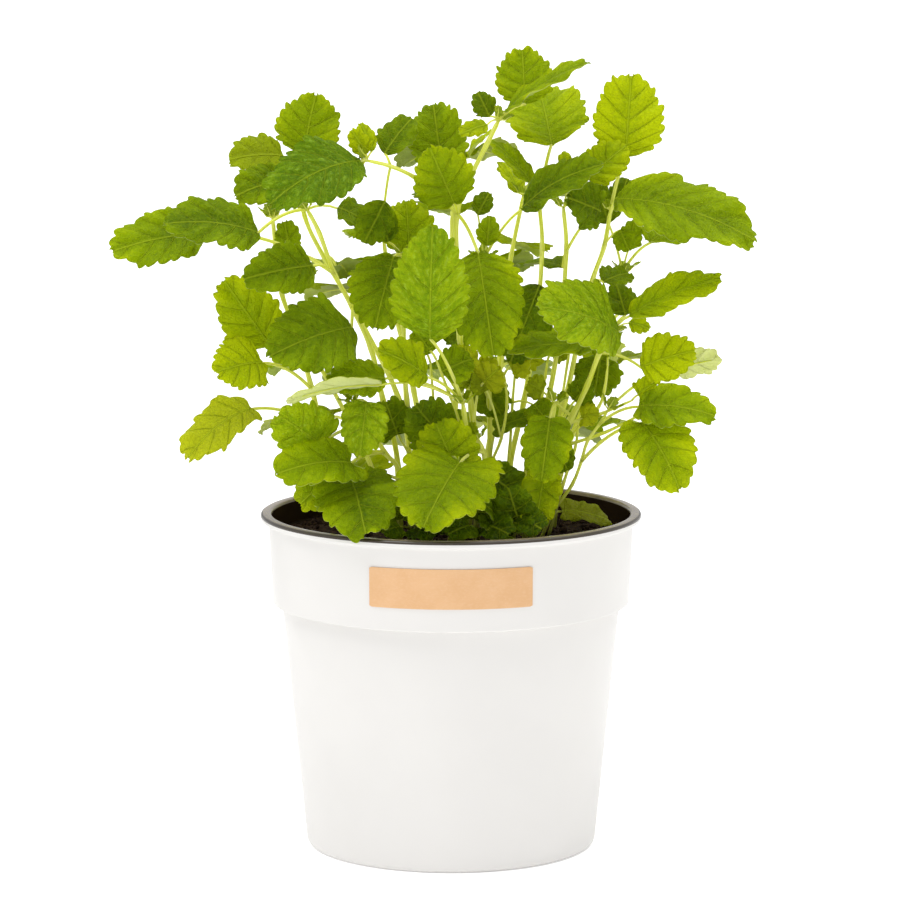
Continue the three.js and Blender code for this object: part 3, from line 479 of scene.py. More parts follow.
# The stems behind follow a rule. Each is a compass direction in degrees from the middle of the
# clump, the ring of its root and of its tip, the height of its tip and of its lowest leaves.
BACK_STEMS = [
    (28, 26, 56, 160, 116),
    (70, 26, 58, 177, 118),
    (112, 26, 58, 174, 118),
    (154, 26, 54, 162, 116),
    (48, 13, 34, 220, 165),
    (92, 12, 28, 232, 170),
    (136, 13, 36, 204, 162),
]
BACK_SEED = 8
BACK_CENTRE = (2, 12)
BACK_ROOT_Z = 92
BACK_NODE_SPACING = 21
BACK_BARE_SPACING = 30
BACK_BARE_Z = 115
BACK_SPREAD_POWER = 1.3
BACK_SWAY = 1.5
BACK_PAIR_ANGLE = 36
BACK_LEAF_ANGLES = (12, 168)
BACK_LOW_ANGLES = (45, 135)
BACK_LOW_Z = 125
BACK_BLADES = (40, 26)
BACK_BLADE_SPREAD = (0.88, 1.12)
BACK_WIDTH_RATIO = 0.7
BACK_BLADE_ARCH = 35
BACK_DROOP = (6, 20)
BACK_LEAN = 0.3
BACK_ROLL = 0.3
BACK_ROLL_SPREAD = (-0.1, 0.1)
BACK_STALKS = (13.2, 7.2)
BACK_STALK_SPREAD = (0.8, 1.2)
BACK_STALK_RISE = 0.3
BACK_TUFT_ANGLES = (-90, 90)
BACK_TUFT_BLADE = 13
BACK_TUFT_STALK = 3
BACK_TUFT_RISE = (30, 50)
BACK_LOOKS = ("mid", "dark", "mid", "light", "dark", "mid", "olive")

# Young leaves at each stem's top
YOUNG_LENGTHS = (3, 5.5)
YOUNG_COUNT = 4
YOUNG_WIDTH_RATIO = 0.55
YOUNG_RISES = (0.7, 1.6)
YOUNG_ARCH = 35
LOOK_SPREAD = 0.05

# How much of the light that meets a leaf or stem passes through it
THROUGH_SHARE = 0.45


def lerp(low, high, share):
    return low + (high - low) * share


def unit(vector):
    return vector / np.linalg.norm(vector)


def seeded_draw(seed):
    """A seeded draw between a low and a high value, the same one as in the part's own rule."""
    state = [seed]

    def draw(limits):
        state[0] = state[0] * 16807 % 2147483647
        return lerp(*limits, state[0] / 2147483647)

    return draw


def back_leaf(node, start, turn, stalk, length, slope, roll, look):
    """One leaf of a back stem, springing from point node of its route in the direction turn."""
    east, north = math.cos(turn), math.sin(turn)
    base = (start[0] + east * stalk, start[1] + north * stalk, start[2] + BACK_STALK_RISE * stalk)
    reach = length * math.cos(slope)
    tip = (base[0] + east * reach, base[1] + north * reach, base[2] + length * math.sin(slope))
    face = (BACK_LEAN * east - roll * north, BACK_LEAN * north + roll * east, 1)
    return node, base, tip, length * BACK_WIDTH_RATIO, face, BACK_BLADE_ARCH, look


def back_route(row, heights, draw):
    compass, root_ring, tip_ring, tip_z, _ = row
    east, north = math.cos(math.radians(compass)), math.sin(math.radians(compass))
    route = []
    for z in (BACK_ROOT_Z, *heights):
        share = max(0, (z - SOIL_Z) / (tip_z - SOIL_Z))
        ring = lerp(root_ring, tip_ring, share ** BACK_SPREAD_POWER)
        sway = draw((-BACK_SWAY, BACK_SWAY)) if z > SOIL_Z else 0
        route.append((BACK_CENTRE[0] + ring * east - sway * north,
                      BACK_CENTRE[1] + ring * north + sway * east, z))
    return route


def back_stem(row, k, draw):
    """The table row of back stem k: single leaves and pairs in turn, and a tuft of two on top."""
    compass, tip_z, leaf_z = row[0], row[3], row[4]
    heights = []
    z = tip_z
    while z > leaf_z:
        heights.insert(0, z)
        z -= BACK_NODE_SPACING
    leafy = len(heights)
    z = heights[0] - BACK_BARE_SPACING
    while z > BACK_BARE_Z:
        heights.insert(0, z)
        z -= BACK_BARE_SPACING
    route = back_route(row, heights, draw)
    leaves = []
    top = len(route) - 1
    for j in range(1, leafy + 1):
        node = top - leafy + j
        least, most = BACK_LOW_ANGLES if route[node][2] < BACK_LOW_Z else BACK_LEAF_ANGLES
        for turn in (0,) if (k + j) % 2 else (-BACK_PAIR_ANGLE, BACK_PAIR_ANGLE):
            way = compass + turn
            stalk = lerp(*BACK_STALKS, j / leafy) * draw(BACK_STALK_SPREAD)
            length = lerp(*BACK_BLADES, j / leafy) * draw(BACK_BLADE_SPREAD)
            slope = -math.radians(draw(BACK_DROOP))
            side = (turn > 0) - (turn < 0)
            roll = -BACK_ROLL * side - draw(BACK_ROLL_SPREAD)
            look = BACK_LOOKS[(3 * k + 2 * j + side) % len(BACK_LOOKS)]
            if least < way < most:
                leaves.append(back_leaf(node, route[node], math.radians(way), stalk, length,
                                        slope, roll, look))
    for turn in BACK_TUFT_ANGLES:
        slope = math.radians(draw(BACK_TUFT_RISE))
        way = math.radians(compass + turn)
        leaves.append(back_leaf(top, route[top], way, BACK_TUFT_STALK, BACK_TUFT_BLADE,
                                slope, 0, "light"))
    return f"leafy_stem_back_{k + 1}", [route, leaves]


def put(name, data):
    """A new object in the scene, at the origin."""
    made = bpy.data.objects.new(name, data)
    bpy.context.scene.collection.objects.link(made)
    return made


def mesh_object(name, points, faces, materials, slots):
    """A new mesh object from points in millimetres, with a material slot for each face."""
    mesh = bpy.data.meshes.new(name)
    mesh.from_pydata((np.asarray(points, float) * MM).tolist(), [], faces)
    for material in materials:
        mesh.materials.append(material)
    mesh.polygons.foreach_set("material_index", slots)
    return put(name, mesh)


class Piece:
    """Gathers the points, faces and point values of one mesh.

    place is the point on a leaf or stem in millimetres, with a number of its own for each.
    vein is the count along the side veins, the share of the way to the margin, and the pitch
    between veins. look is light (the leaf's own level with painted shade and light), warmth and how
    much it is an underside, or a height for a stem, which the stem's material turns into painted
    shade near the soil. relief is the height of the small bulges as a share, and of all bulges in
    millimetres, which the leaf's material paints as light and shade.
    """

    def __init__(self, name):
        self.name = name
        self.points, self.faces, self.slots = [], [], []
        self.values = {"place": [], "vein": [], "look": [], "relief": []}
        self.count = 0

    def add(self, points, faces, slot, place, vein, look, relief=(0, 0, 0)):
        points = np.asarray(points, float)
        self.points.append(points)
        for name, value in zip(self.values, (place, vein, look, relief)):
            self.values[name].append(np.broadcast_to(value, points.shape))
        self.faces += [tuple(i + self.count for i in face) for face in faces]
        self.slots += [slot] * len(faces)
        self.count += len(points)

    def finish(self, materials):
        """Makes the object, in metres, at the origin."""
        made = mesh_object(self.name, np.concatenate(self.points), self.faces, materials, self.slots)
        for name, values in self.values.items():
            attribute = made.data.attributes.new(name, "FLOAT_VECTOR", "POINT")
            attribute.data.foreach_set("vector", np.concatenate(values).astype(np.float32).ravel())
        made.data.shade_smooth()
        made.data.validate()
        return made


def tube_faces(rings, sides):
    """Quads round a tube of rings, closed by a fan at each end."""
    faces = []
    for i in range(rings - 1):
        for k in range(sides):
            n = (k + 1) % sides
            faces.append((i * sides + k, i * sides + n, (i + 1) * sides + n, (i + 1) * sides + k))
    faces.append(tuple(reversed(range(sides))))
    faces.append(tuple((rings - 1) * sides + k for k in range(sides)))
    return faces


def tube_points(line, radii, sides, facing, section):
    """Rings of points round a line. section gives the share of the radius at each angle."""
    angles = 2 * np.pi * np.arange(sides) / sides
    share = section(angles)
    along = np.gradient(line, axis=0)
    along /= np.linalg.norm(along, axis=1, keepdims=True)
    side = np.cross(along, facing)
    side /= np.linalg.norm(side, axis=1, keepdims=True)
    lift = np.cross(side, along)
    round_it = (np.cos(angles) * share)[None, :, None] * lift[:, None, :]
    round_it = round_it + (np.sin(angles) * share)[None, :, None] * side[:, None, :]
    return (line[:, None, :] + radii[:, None, None] * round_it).reshape(-1, 3)


def smooth_line(points, step):
    """A smooth line through points, and the share of its length at each of them."""
    points = np.asarray(points, float)
    ends = np.vstack([2 * points[0] - points[1], points, 2 * points[-1] - points[-2]])
    line, marks = [points[0]], [0]
    for a, b, c, d in zip(ends, ends[1:], ends[2:], ends[3:]):
        count = max(2, int(round(np.linalg.norm(c - b) / step)))
        for t in np.arange(1, count + 1)[:, None] / count:
            line.append((2 * b + (c - a) * t + (2 * a - 5 * b + 4 * c - d) * t ** 2
                         + (3 * b - a - 3 * c + d) * t ** 3) / 2)
        marks.append(len(line) - 1)
    line = np.array(line)
    run = np.concatenate([[0], np.cumsum(np.linalg.norm(np.diff(line, axis=0), axis=1))])
    return line, run, run[marks]


def square_section(angles):
    return 1 + STEM_CORNER * np.cos(4 * angles + np.pi)


def grooved_section(angles):
    return 1 - STALK_GROOVE * np.maximum(0, np.cos(angles)) ** 6


def add_stem(piece, route, root_and_tip, number):
    """The square stem of one shoot, a little swollen where leaves spring from it."""
    line, run, marks = smooth_line(route, STEM_STEP)
    radii = np.interp(run, [0, run[-1]], root_and_tip)
    for mark in marks[1:]:
        radii *= 1 + NODE_SWELL * np.exp(-((run - mark) / NODE_LENGTH) ** 2)
    radii[-1] *= STEM_END
    points = tube_points(line, radii, STEM_SIDES, STEM_FACING, square_section)
    around = np.tile(np.arange(STEM_SIDES), len(line))
    place = np.stack([around, np.repeat(run, STEM_SIDES), np.full(len(points), number)], 1)
    piece.add(points, tube_faces(len(line), STEM_SIDES), 1, place, (0, 0, 1),
              np.stack([np.repeat(line[:, 2], STEM_SIDES), around * 0, around * 0], 1))


def blade_surface(base, tip, face, arch, twist):
    """The surface of one blade, along from 0 to 1, across and lift in millimetres."""
    start = np.array(base, float)
    chord = np.array(tip, float) - start
    reach = np.linalg.norm(chord)
    chord /= reach
    face = np.array(face, float)
    normal = unit(face - chord * (face @ chord))
    side = np.cross(chord, normal)
    half = math.radians(arch) / 2
    radius = reach / (2 * math.sin(half))

    def place(along, across, lift):
        turn = (half * (2 * along - 1))[..., None]
        fold = BLADE_FOLD * (np.hypot(across, FOLD_ROUND) - FOLD_ROUND) - RECURVE * across ** 2
        raised = (lift + fold * (1.3 - 0.6 * along) + twist * along * across)[..., None]
        return (start
                + chord * (radius * (np.sin(turn) + math.sin(half)) + raised * np.sin(turn))
                + normal * (radius * (np.cos(turn) - math.cos(half)) + raised * np.cos(turn))
                + side * across[..., None])

    return place, 2 * radius * half


def tooth_shape(phase):
    """A rounded tooth that rises slowly towards the tip, from 0 in the notch to 1 on its crest."""
    share = phase % 1
    from_crest = np.where(share < TOOTH_PEAK, 1 - share / TOOTH_PEAK,
                          (share - TOOTH_PEAK) / (1 - TOOTH_PEAK))
    return (1 - from_crest ** 2) ** TOOTH_ROUND


def margin_line(width, length, heart, teeth, rng):
    """The outline of half a blade: for each row its share of the way round, its place among the
    teeth, its distance across and place along, and its tooth as an offset of these two."""
    t = np.linspace(0, 1, 400)
    widest = lerp(*WIDEST_AT, heart)
    skewed = t ** (math.log(0.5) / math.log(widest))
    lobe = lerp(WEDGE_LOBE, LOBE_LEAST + LOBE_PER_WIDTH * width, heart)
    tip_fullness = lerp(*TIP_FULLNESS, heart) + rng.uniform(-TIP_SPREAD, TIP_SPREAD)
    fullness = np.where(t < widest, lerp(*BASE_FULLNESS, heart), tip_fullness)
    across = 0.5 * width * np.sin(np.pi * skewed) ** fullness
    along = length * t * (1 - lobe * (1 - t) ** LOBE_FADE)
    run = np.concatenate([[0], np.cumsum(np.hypot(np.diff(across), np.diff(along)))])
    run /= run[-1]
    plain = lerp(*PLAIN_SHARES, heart)
    rows = np.concatenate([
        np.linspace(0, plain, PLAIN_ROWS, endpoint=False),
        np.linspace(plain, 1, TOOTH_ROWS * teeth + TOOTH_ROWS // 2, endpoint=False),
    ])
    phase = (rows - plain) / (1 - plain) * (teeth + 0.5)
    notches = np.arange(-1.0, teeth + 2)
    shifted = notches + rng.uniform(-TOOTH_SHIFT, TOOTH_SHIFT, len(notches))
    tooth_phase = np.interp(phase, shifted, notches)
    across, along = np.interp(rows, run, across), np.interp(rows, run, along)
    way = np.stack([np.gradient(across), np.gradient(along)], 1)
    way /= np.linalg.norm(way, axis=1, keepdims=True)
    out = np.stack([way[:, 1], -way[:, 0]], 1)
    sizes = rng.uniform(*TOOTH_SIZES, teeth + 2)[np.clip(tooth_phase.astype(int), 0, teeth + 1)]
    depth = (TOOTH_DEPTHS[0] + TOOTH_DEPTHS[1] * width) * sizes * tooth_shape(tooth_phase)
    depth *= (rows >= plain) * np.interp(rows, [plain, plain + 0.12, 0.85, 1], [END_TOOTH, 1, 1, END_TOOTH])
    return rows, phase, across, along, (out + TOOTH_LEAN * way) * depth[:, None]


def half_blade(width, length, heart, teeth, columns, rng):
    """Half a blade as rows from base to tip by columns to the margin: the distance across and the
    place along, the lift of the bulges, and the veins' count, share of the way out and pitch."""
    rows, phase, across_m, along_m, tooth = margin_line(width, length, heart, teeth, rng)
    q = np.linspace(0, 1, columns + 1) ** COLUMN_SPREAD
    middle = length * (rows / rows[-1]) ** VEIN_LEAN
    across = q * across_m[:, None]
    along = middle[:, None] + (along_m - middle)[:, None] * q ** VEIN_CURVE
    edge = q ** TOOTH_REACH
    across = np.maximum(across + tooth[:, :1] * edge, q * SINUS_HALF_WIDTH)
    along = along + tooth[:, 1:] * edge
    count = phase * VEINS_PER_TOOTH
    pitch = np.hypot(np.gradient(across, axis=0), np.gradient(along, axis=0))
    pitch /= np.gradient(count)[:, None]
    valley = np.abs(np.sin(np.pi * (count - 0.5)))[:, None]
    inner = (1 - q ** 6) * (1 - np.exp(-(across / MIDRIB_HOLLOW) ** 2))
    lift = PILLOW * np.minimum(pitch, PILLOW_PITCH) * (valley ** 0.8 - 0.5) * inner
    turns = rng.uniform(0, 2 * np.pi, 2)
    wave = sum(size * np.sin(2 * np.pi * waves * rows + turn)
               for (waves, size), turn in zip(RIPPLE_WAVES, turns))
    lift += RIPPLE * width * wave[:, None] * q ** 2.5
    vein = np.stack([np.broadcast_to(count[:, None], across.shape),
                     np.broadcast_to(q, across.shape), pitch], -1)
    return across, along, lift, vein


def cell_domes(across, along, rng):
    """The small bulges between a blade's finest veins, from 0 in a valley to 1 on top."""
    low = (across.min() - CELL_SIZE, along.min() - CELL_SIZE)
    counts = [int((high - start) / CELL_SIZE) + 3
              for start, high in zip(low, (across.max(), along.max()))]
    grid = np.stack(np.meshgrid(*map(np.arange, counts), indexing="ij"), -1).reshape(-1, 2)
    seeds = np.array(low) + CELL_SIZE * (grid + rng.uniform(-CELL_SHIFT, CELL_SHIFT, grid.shape))
    spots = np.stack([across.ravel(), along.ravel()], 1)
    far = np.linalg.norm(spots[:, None] - seeds[None], axis=2)
    nearest = np.partition(far, 1, axis=1)[:, :2]
    rise = np.clip((nearest[:, 1] - nearest[:, 0]) / CELL_SIZE * CELL_STEEPNESS, 0, 1)
    return rise.reshape(across.shape) ** CELL_ROUND


@functools.cache
def sheet_faces(rows, wide):
    """Faces of a closed thin sheet: one grid of points, one below it, and the strip round them."""
    under = rows * wide
    faces = []
    for i in range(rows - 1):
        for j in range(wide - 1):
            a = i * wide + j
            faces.append((a, a + wide, a + wide + 1, a + 1))
            faces.append((under + a, under + a + 1, under + a + wide + 1, under + a + wide))
    rim = [i * wide for i in range(rows)]
    rim += [(rows - 1) * wide + j for j in range(1, wide)]
    rim += [i * wide + wide - 1 for i in range(rows - 2, -1, -1)]
    rim += list(range(wide - 2, 0, -1))
    for a, b in zip(rim, rim[1:] + rim[:1]):
        faces.append((a, under + a, under + b, b))
    return faces


def add_blade(piece, place, width, length, heart, look, number, rng):
    """One blade, as a closed thin sheet with bulges between its veins and a ridge below."""
    teeth = int(np.clip(round(width / TOOTH_PITCH) + 1, 3, 11))
    columns = int(np.clip(round(width / 2 / COLUMN_WIDTH), 3, 14))
    left = half_blade(width, length, heart, teeth, columns, rng)
    right = half_blade(width, length, heart, teeth, columns, rng)
    across = np.hstack([-left[0][:, :0:-1], right[0]])
    along, lift = (np.hstack([a[:, :0:-1], b]) for a, b in zip(left[1:3], right[1:3]))
    vein = np.concatenate([left[3][:, :0:-1], right[3]], 1)
    domes = cell_domes(across, along, rng)
    fade = (1 - vein[..., 1] ** 8) * (1 - 0.7 * np.exp(-(across / 0.8) ** 2))
    size = min(1, width / FULL_RELIEF_WIDTH)
    lift = lift + CELL_HEIGHT * size * (domes - 0.5) * fade
    ridge = RIDGE_HEIGHT * size * np.exp(-(across / RIDGE_HALF_WIDTH) ** 2)
    ridge = ridge * np.clip(1 - along / length, 0, 1)
    upper = place(along / length, across, lift + BLADE_THICKNESS / 2)
    lower = place(along / length, across, lift - BLADE_THICKNESS / 2 - ridge)
    shape = across.shape
    spots = np.stack([across, along, np.full(shape, number * 17.0)], -1).reshape(-1, 3)
    looks = np.tile([look[0], look[1], 0.0], (spots.shape[0], 1))
    below = looks + [0, 0, look[2]]
    relief = np.stack([domes, lift, 0 * lift], -1).reshape(-1, 3)
    piece.add(np.concatenate([upper.reshape(-1, 3), lower.reshape(-1, 3)]),
              sheet_faces(*shape), 0, np.concatenate([spots, spots]),
              np.concatenate([vein.reshape(-1, 3)] * 2), np.concatenate([looks, below]),
              np.concatenate([relief, relief]))


def add_stalk(piece, start, place, radius, length, number, look, height):
    """The leaf stalk from the stem to the blade, which runs on below it as the midrib."""
    start = np.array(start, float)
    flat = np.zeros(1)
    base = place(flat, flat, flat - STALK_DEPTH)[0]
    distance = np.linalg.norm(base - start)
    middle = lerp(start, base, 0.5) + np.array([0, 0, STALK_ARCH * distance])
    count = max(3, int(distance / STALK_STEP))
    t = np.linspace(0, 1, count + 1)[:, None]
    bow = 2 * middle - (start + base) / 2
    line = (1 - t) ** 2 * start + 2 * t * (1 - t) * bow + t ** 2 * base
    rib = np.linspace(*MIDRIB_SPAN, max(3, int(length / MIDRIB_STEP)))
    line = np.vstack([line, place(rib, rib * 0, rib * 0 - MIDRIB_DEPTH)])
    thick, thin = STALK_TAPER
    radii = np.concatenate([np.linspace(radius * thick, radius * thin, count + 1),
                            np.linspace(radius * MIDRIB_START_SHARE, MIDRIB_TIP_RADIUS, len(rib))])
    facing = place(flat, flat, flat + 1)[0] - place(flat, flat, flat)[0]
    points = tube_points(line, radii, STALK_SIDES, -facing, grooved_section)
    around = np.tile(np.arange(STALK_SIDES), len(line))
    run = np.repeat(np.arange(len(line)) * STALK_STEP, STALK_SIDES)
    spots = np.stack([around, run, np.full(len(points), number)], 1)
    looks = np.stack([np.full(len(points), height), around * 0 + look[0], around * 0 + 1], 1)
    piece.add(points, tube_faces(len(line), STALK_SIDES), 1, spots, (0, 0, 1), looks)


def add_leaf(piece, start, leaf, number, rng):
    _, base, tip, width, face, arch, look = leaf
    place, length = blade_surface(base, tip, face, arch, rng.uniform(-TWIST, TWIST))
    look = np.array(LOOKS[look])
    look[:2] += rng.uniform(-LOOK_SPREAD, LOOK_SPREAD, 2) * (look[1] > 0)
    heart = min(1, max(0, (WEDGE_Z - base[2]) / (WEDGE_Z - HEART_Z)))
    add_blade(piece, place, width, length, heart, look, number, rng)
    radius = STALK_RADIUS * np.interp(width, *STALK_SHARES)
    add_stalk(piece, start, place, radius, length, number, look, start[2])


def add_young_leaves(piece, start, way, number, rng):
    """Small leaves round the top of a stem, folded up along it."""
    turn = rng.uniform(0, 2 * np.pi)
    side = unit(np.cross(way, (0.3, -1, 0.2)))
    front = np.cross(side, way)
    for k in range(YOUNG_COUNT):
        angle = turn + 2 * np.pi * k / YOUNG_COUNT
        out = math.cos(angle) * side + math.sin(angle) * front
        length = rng.uniform(*YOUNG_LENGTHS)
        rise = rng.uniform(*YOUNG_RISES)
        aim = unit(out + rise * way)
        base = start + out * 0.9 + aim * 1.2
        tip = base + aim * length
        leaf = (0, base, tip, length * YOUNG_WIDTH_RATIO, way - 0.6 * out, YOUNG_ARCH, "young")
        add_leaf(piece, start, leaf, number + k, rng)


def build_stem(name, shoots, number, materials):
    """All shoots of one leafy stem, in the piece that takes its node's place."""
    rng = np.random.default_rng(STEM_SEED + number)
    piece = Piece(name + "_fine")
    count = number * 100
    all_shoots = shoots + FINE_SHOOTS.get(name, [])
    for i, (route, leaves) in enumerate(zip(all_shoots[::2], all_shoots[1::2])):
        radii = SIDE_SHOOT_RADII if i else [STEM_SCALES.get(name, 1) * r for r in STEM_RADII]
        in_table = 2 * i < len(shoots)
        add_stem(piece, route, radii if in_table else FINE_SHOOT_RADII, count)
        for leaf in leaves:
            count += 1
            add_leaf(piece, route[leaf[0]], leaf, count, rng)
        if in_table:
            top, below = (np.array(route[k], float) for k in (-1, -2))
            add_young_leaves(piece, top, unit(top - below), count + 1, rng)
            count += YOUNG_COUNT
    made = piece.finish(materials)
    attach(made, "root")
    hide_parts(name)


def node(tree, kind, inputs=None, **settings):
    """A shader node with its settings, and its inputs set or linked."""
    made = tree.nodes.new(kind)
    for name, value in settings.items():
        setattr(made, name, value)
    for name, value in (inputs or {}).items():
        if isinstance(value, bpy.types.NodeSocket):
            tree.links.new(value, made.inputs[name])
        else:
            made.inputs[name].default_value = value
    return made


def maths(tree, operation, *values):
    return node(tree, "ShaderNodeMath", dict(enumerate(values)), operation=operation).outputs[0]


def remap(tree, value, low, high, to_low, to_high, kind="SMOOTHSTEP"):
    return node(tree, "ShaderNodeMapRange", {
        "Value": value, "From Min": low, "From Max": high, "To Min": to_low, "To Max": to_high,
    }, interpolation_type=kind).outputs["Result"]


def mixed(tree, share, first, second, blend="MIX"):
    made = node(tree, "ShaderNodeMix", data_type="RGBA", blend_type=blend)
    for socket, value in ((0, share), (6, first), (7, second)):
        if isinstance(value, bpy.types.NodeSocket):
            tree.links.new(value, made.inputs[socket])
        else:
            made.inputs[socket].default_value = value
    return made.outputs[2]


def parts(tree, vector):
    made = node(tree, "ShaderNodeSeparateXYZ", {0: vector})
    return made.outputs[0], made.outputs[1], made.outputs[2]


def noise_value(tree, vector, scale, detail=3.0, roughness=0.55, distortion=0.0):
    return node(tree, "ShaderNodeTexNoise", {
        "Vector": vector, "Scale": scale, "Detail": detail, "Roughness": roughness,
        "Distortion": distortion,
    }).outputs["Fac"]


def start_material(name):
    material = bpy.data.materials.new(name)
    material.use_nodes = True
    tree = material.node_tree
    tree.nodes.clear()
    return material, tree, tree.nodes.new("ShaderNodeOutputMaterial")


def bumped(tree, height, strength, distance):
    return node(tree, "ShaderNodeBump", {
        "Height": height, "Strength": strength, "Distance": distance,
    }).outputs["Normal"]


def surface(tree, output, colour, roughness, gloss=0.5, bump=None):
    """A plain shader linked to the output. bump is a height, its strength and its depth in metres."""
    inputs = {"Base Color": colour, "Roughness": roughness, "Specular IOR Level": gloss}
    if bump:
        inputs["Normal"] = bumped(tree, *bump)
    shader = node(tree, "ShaderNodeBsdfPrincipled", inputs)
    tree.links.new(shader.outputs[0], output.inputs["Surface"])
    return shader


def lit_through(tree, output, front, behind):
    """A shader that lets some of the light through, linked to the output."""
    shader = node(tree, "ShaderNodeBsdfPrincipled", front)
    through = node(tree, "ShaderNodeBsdfTranslucent", behind)
    both = node(tree, "ShaderNodeMixShader", {
        0: THROUGH_SHARE, 1: shader.outputs[0], 2: through.outputs[0],
    })
    tree.links.new(both.outputs[0], output.inputs["Surface"])


def leaf_material():
    """Green between paler veins, paler and dull below, with painted light on its bulges, ridges and margin
    and painted shade in its hollows.
    """
    material, tree, output = start_material("leaf")
    place, vein, look, relief = (
        node(tree, "ShaderNodeAttribute", attribute_name=name).outputs["Vector"]
        for name in ("place", "vein", "look", "relief"))
    across, _, number = parts(tree, place)
    phase, q, pitch = parts(tree, vein)
    light, warmth, under = parts(tree, look)
    dome, lift, _ = parts(tree, relief)

    offset = maths(tree, "ABSOLUTE", maths(tree, "SUBTRACT", maths(tree, "FRACT", phase), 0.5))
    from_vein = maths(tree, "MULTIPLY", offset, pitch)
    vein_width = remap(tree, q, 0.0, 1.0, 0.42, 0.2, "LINEAR")
    side_vein = remap(tree, from_vein, 0.0, vein_width, 1.0, 0.0)
    midrib = remap(tree, maths(tree, "ABSOLUTE", across), 0.1, 0.6, 1.0, 0.0)
    main_veins = maths(tree, "MAXIMUM", side_vein, midrib)
    edges = node(tree, "ShaderNodeTexVoronoi", {"Vector": place, "Scale": 0.62},
                 feature="DISTANCE_TO_EDGE").outputs["Distance"]
    net = remap(tree, edges, 0.0, 0.2, 1.0, 0.0)

    # Ridges run along the side veins, from the midrib outwards. They bump the blade, and the lightness
    # below paints light on their crests and shade between them.
    outwards = node(tree, "ShaderNodeCombineXYZ", {
        0: maths(tree, "MULTIPLY", phase, 4.0),
        1: maths(tree, "MULTIPLY", maths(tree, "MULTIPLY", q, 5.0), maths(tree, "SIGN", across)),
        2: number,
    }).outputs[0]
    ridges = noise_value(tree, outwards, 1.0, 5.0, 0.7, 0.5)
    cool_share = remap(tree, warmth, 0.0, 0.2, 1.0, 0.0)
    crinkle = maths(tree, "MULTIPLY_ADD", cool_share, 0.8, 0.35)
    patches = noise_value(tree, place, 0.09)
    broad = noise_value(tree, place, 0.035, 1.0)
    # Lightness: the leaf's own level with random patches, then painted shade in the vein valleys and
    # hollows between bulges, painted light on the bulges and ridges, painted shade near the midrib, and
    # painted light towards the margin and on its very edge, where light shines through the thin blade.
    shade = light
    for change in (
        remap(tree, patches, 0.3, 0.7, -0.08, 0.08, "LINEAR"),
        remap(tree, broad, 0.3, 0.7, -0.16, 0.16, "LINEAR"),
        remap(tree, lift, -0.6, 0.8, -0.09, 0.09, "LINEAR"),
        maths(tree, "MULTIPLY", crinkle, maths(
            tree, "ADD", remap(tree, dome, 0.0, 1.0, -0.2, 0.12, "LINEAR"),
            remap(tree, ridges, 0.35, 0.65, -0.26, 0.26, "LINEAR"))),
        remap(tree, q, 0.0, 1.0, -0.12, 0.14),
        remap(tree, q, 0.88, 1.0, 0.0, 0.1),
    ):
        shade = maths(tree, "ADD", shade, change)
    ramp = node(tree, "ShaderNodeValToRGB", {"Fac": maths(tree, "MULTIPLY_ADD", shade, 0.75, 0.25)})
    stops = ramp.color_ramp.elements
    for spot, _ in LEAF_SHADES[1:-1]:
        stops.new(spot)
    for stop, (spot, green) in zip(stops, LEAF_SHADES):
        stop.position, stop.color = spot, green
    cool = mixed(tree, maths(tree, "MULTIPLY", cool_share, 0.35), ramp.outputs["Color"],
                 (0.155, 0.36, 0.01, 1))
    warm = mixed(tree, remap(tree, warmth, 0.4, 1.0, 0.0, 0.6), cool, (0.55, 0.55, 0.02, 1))
    # Painted sheen: a pale highlight painted on the ridge crests of cool leaves.
    painted_sheen = maths(tree, "MULTIPLY", cool_share, remap(tree, ridges, 0.52, 0.68, 0.0, 0.45))
    with_painted_sheen = mixed(tree, painted_sheen, warm, (0.42, 0.65, 0.10, 1))
    veined = mixed(tree, maths(tree, "MULTIPLY", main_veins, 0.4), with_painted_sheen, (0.54, 0.66, 0.03, 1))
    netted = mixed(tree, maths(tree, "MULTIPLY", net, 0.14), veined, (0.46, 0.58, 0.01, 1))
    colour = mixed(tree, maths(tree, "MULTIPLY", under, 0.8), netted, (0.90, 0.91, 0.52, 1))

    veins = maths(tree, "MAXIMUM", main_veins, maths(tree, "MULTIPLY", net, 0.3))
    sink = maths(tree, "SUBTRACT", maths(tree, "MULTIPLY", ridges, crinkle), veins)
    turned = maths(tree, "MULTIPLY", sink, maths(tree, "MULTIPLY_ADD", under, -1.6, 1.0))
    bump = bumped(tree, turned, 0.9, 0.0006)
    roughness = maths(tree, "MULTIPLY_ADD", under, 0.25,
                      remap(tree, patches, 0.3, 0.7, 0.38, 0.5, "LINEAR"))
    lit_through(tree, output, {
        "Base Color": colour, "Roughness": roughness, "Normal": bump, "Specular IOR Level": 0.08,
    }, {"Color": mixed(tree, 0.45, colour, (0.88, 0.97, 0.02, 1)), "Normal": bump})
    return material


def stem_material():
    """Yellow-green, with darker streaks along the stem, and painted shade darkening it towards the soil."""
    material, tree, output = start_material("stem")
    place, look = (node(tree, "ShaderNodeAttribute", attribute_name=name).outputs["Vector"]
                   for name in ("place", "look"))
    height, _, _ = parts(tree, look)
    streaks = noise_value(tree, node(tree, "ShaderNodeMapping", {
        "Vector": place, "Scale": (0.8, 0.05, 1.0),
    }).outputs[0], 1.0)
    colour = mixed(tree, remap(tree, streaks, 0.35, 0.65, 0.0, 1.0),
                   (0.73, 0.78, 0.06, 1), (0.95, 0.96, 0.32, 1))
    # Painted shade: darker towards the soil, where the leaves above shade the stems' feet.
    colour = mixed(tree, remap(tree, height, 107.0, 132.0, 0.75, 0.0), colour,
                   (0.20, 0.22, 0.02, 1))
    lit_through(tree, output, {
        "Base Color": colour, "Roughness": 0.42, "Specular IOR Level": 0.14,
    }, {"Color": colour})
    return material


def object_place(tree):
    return node(tree, "ShaderNodeTexCoord").outputs["Object"]


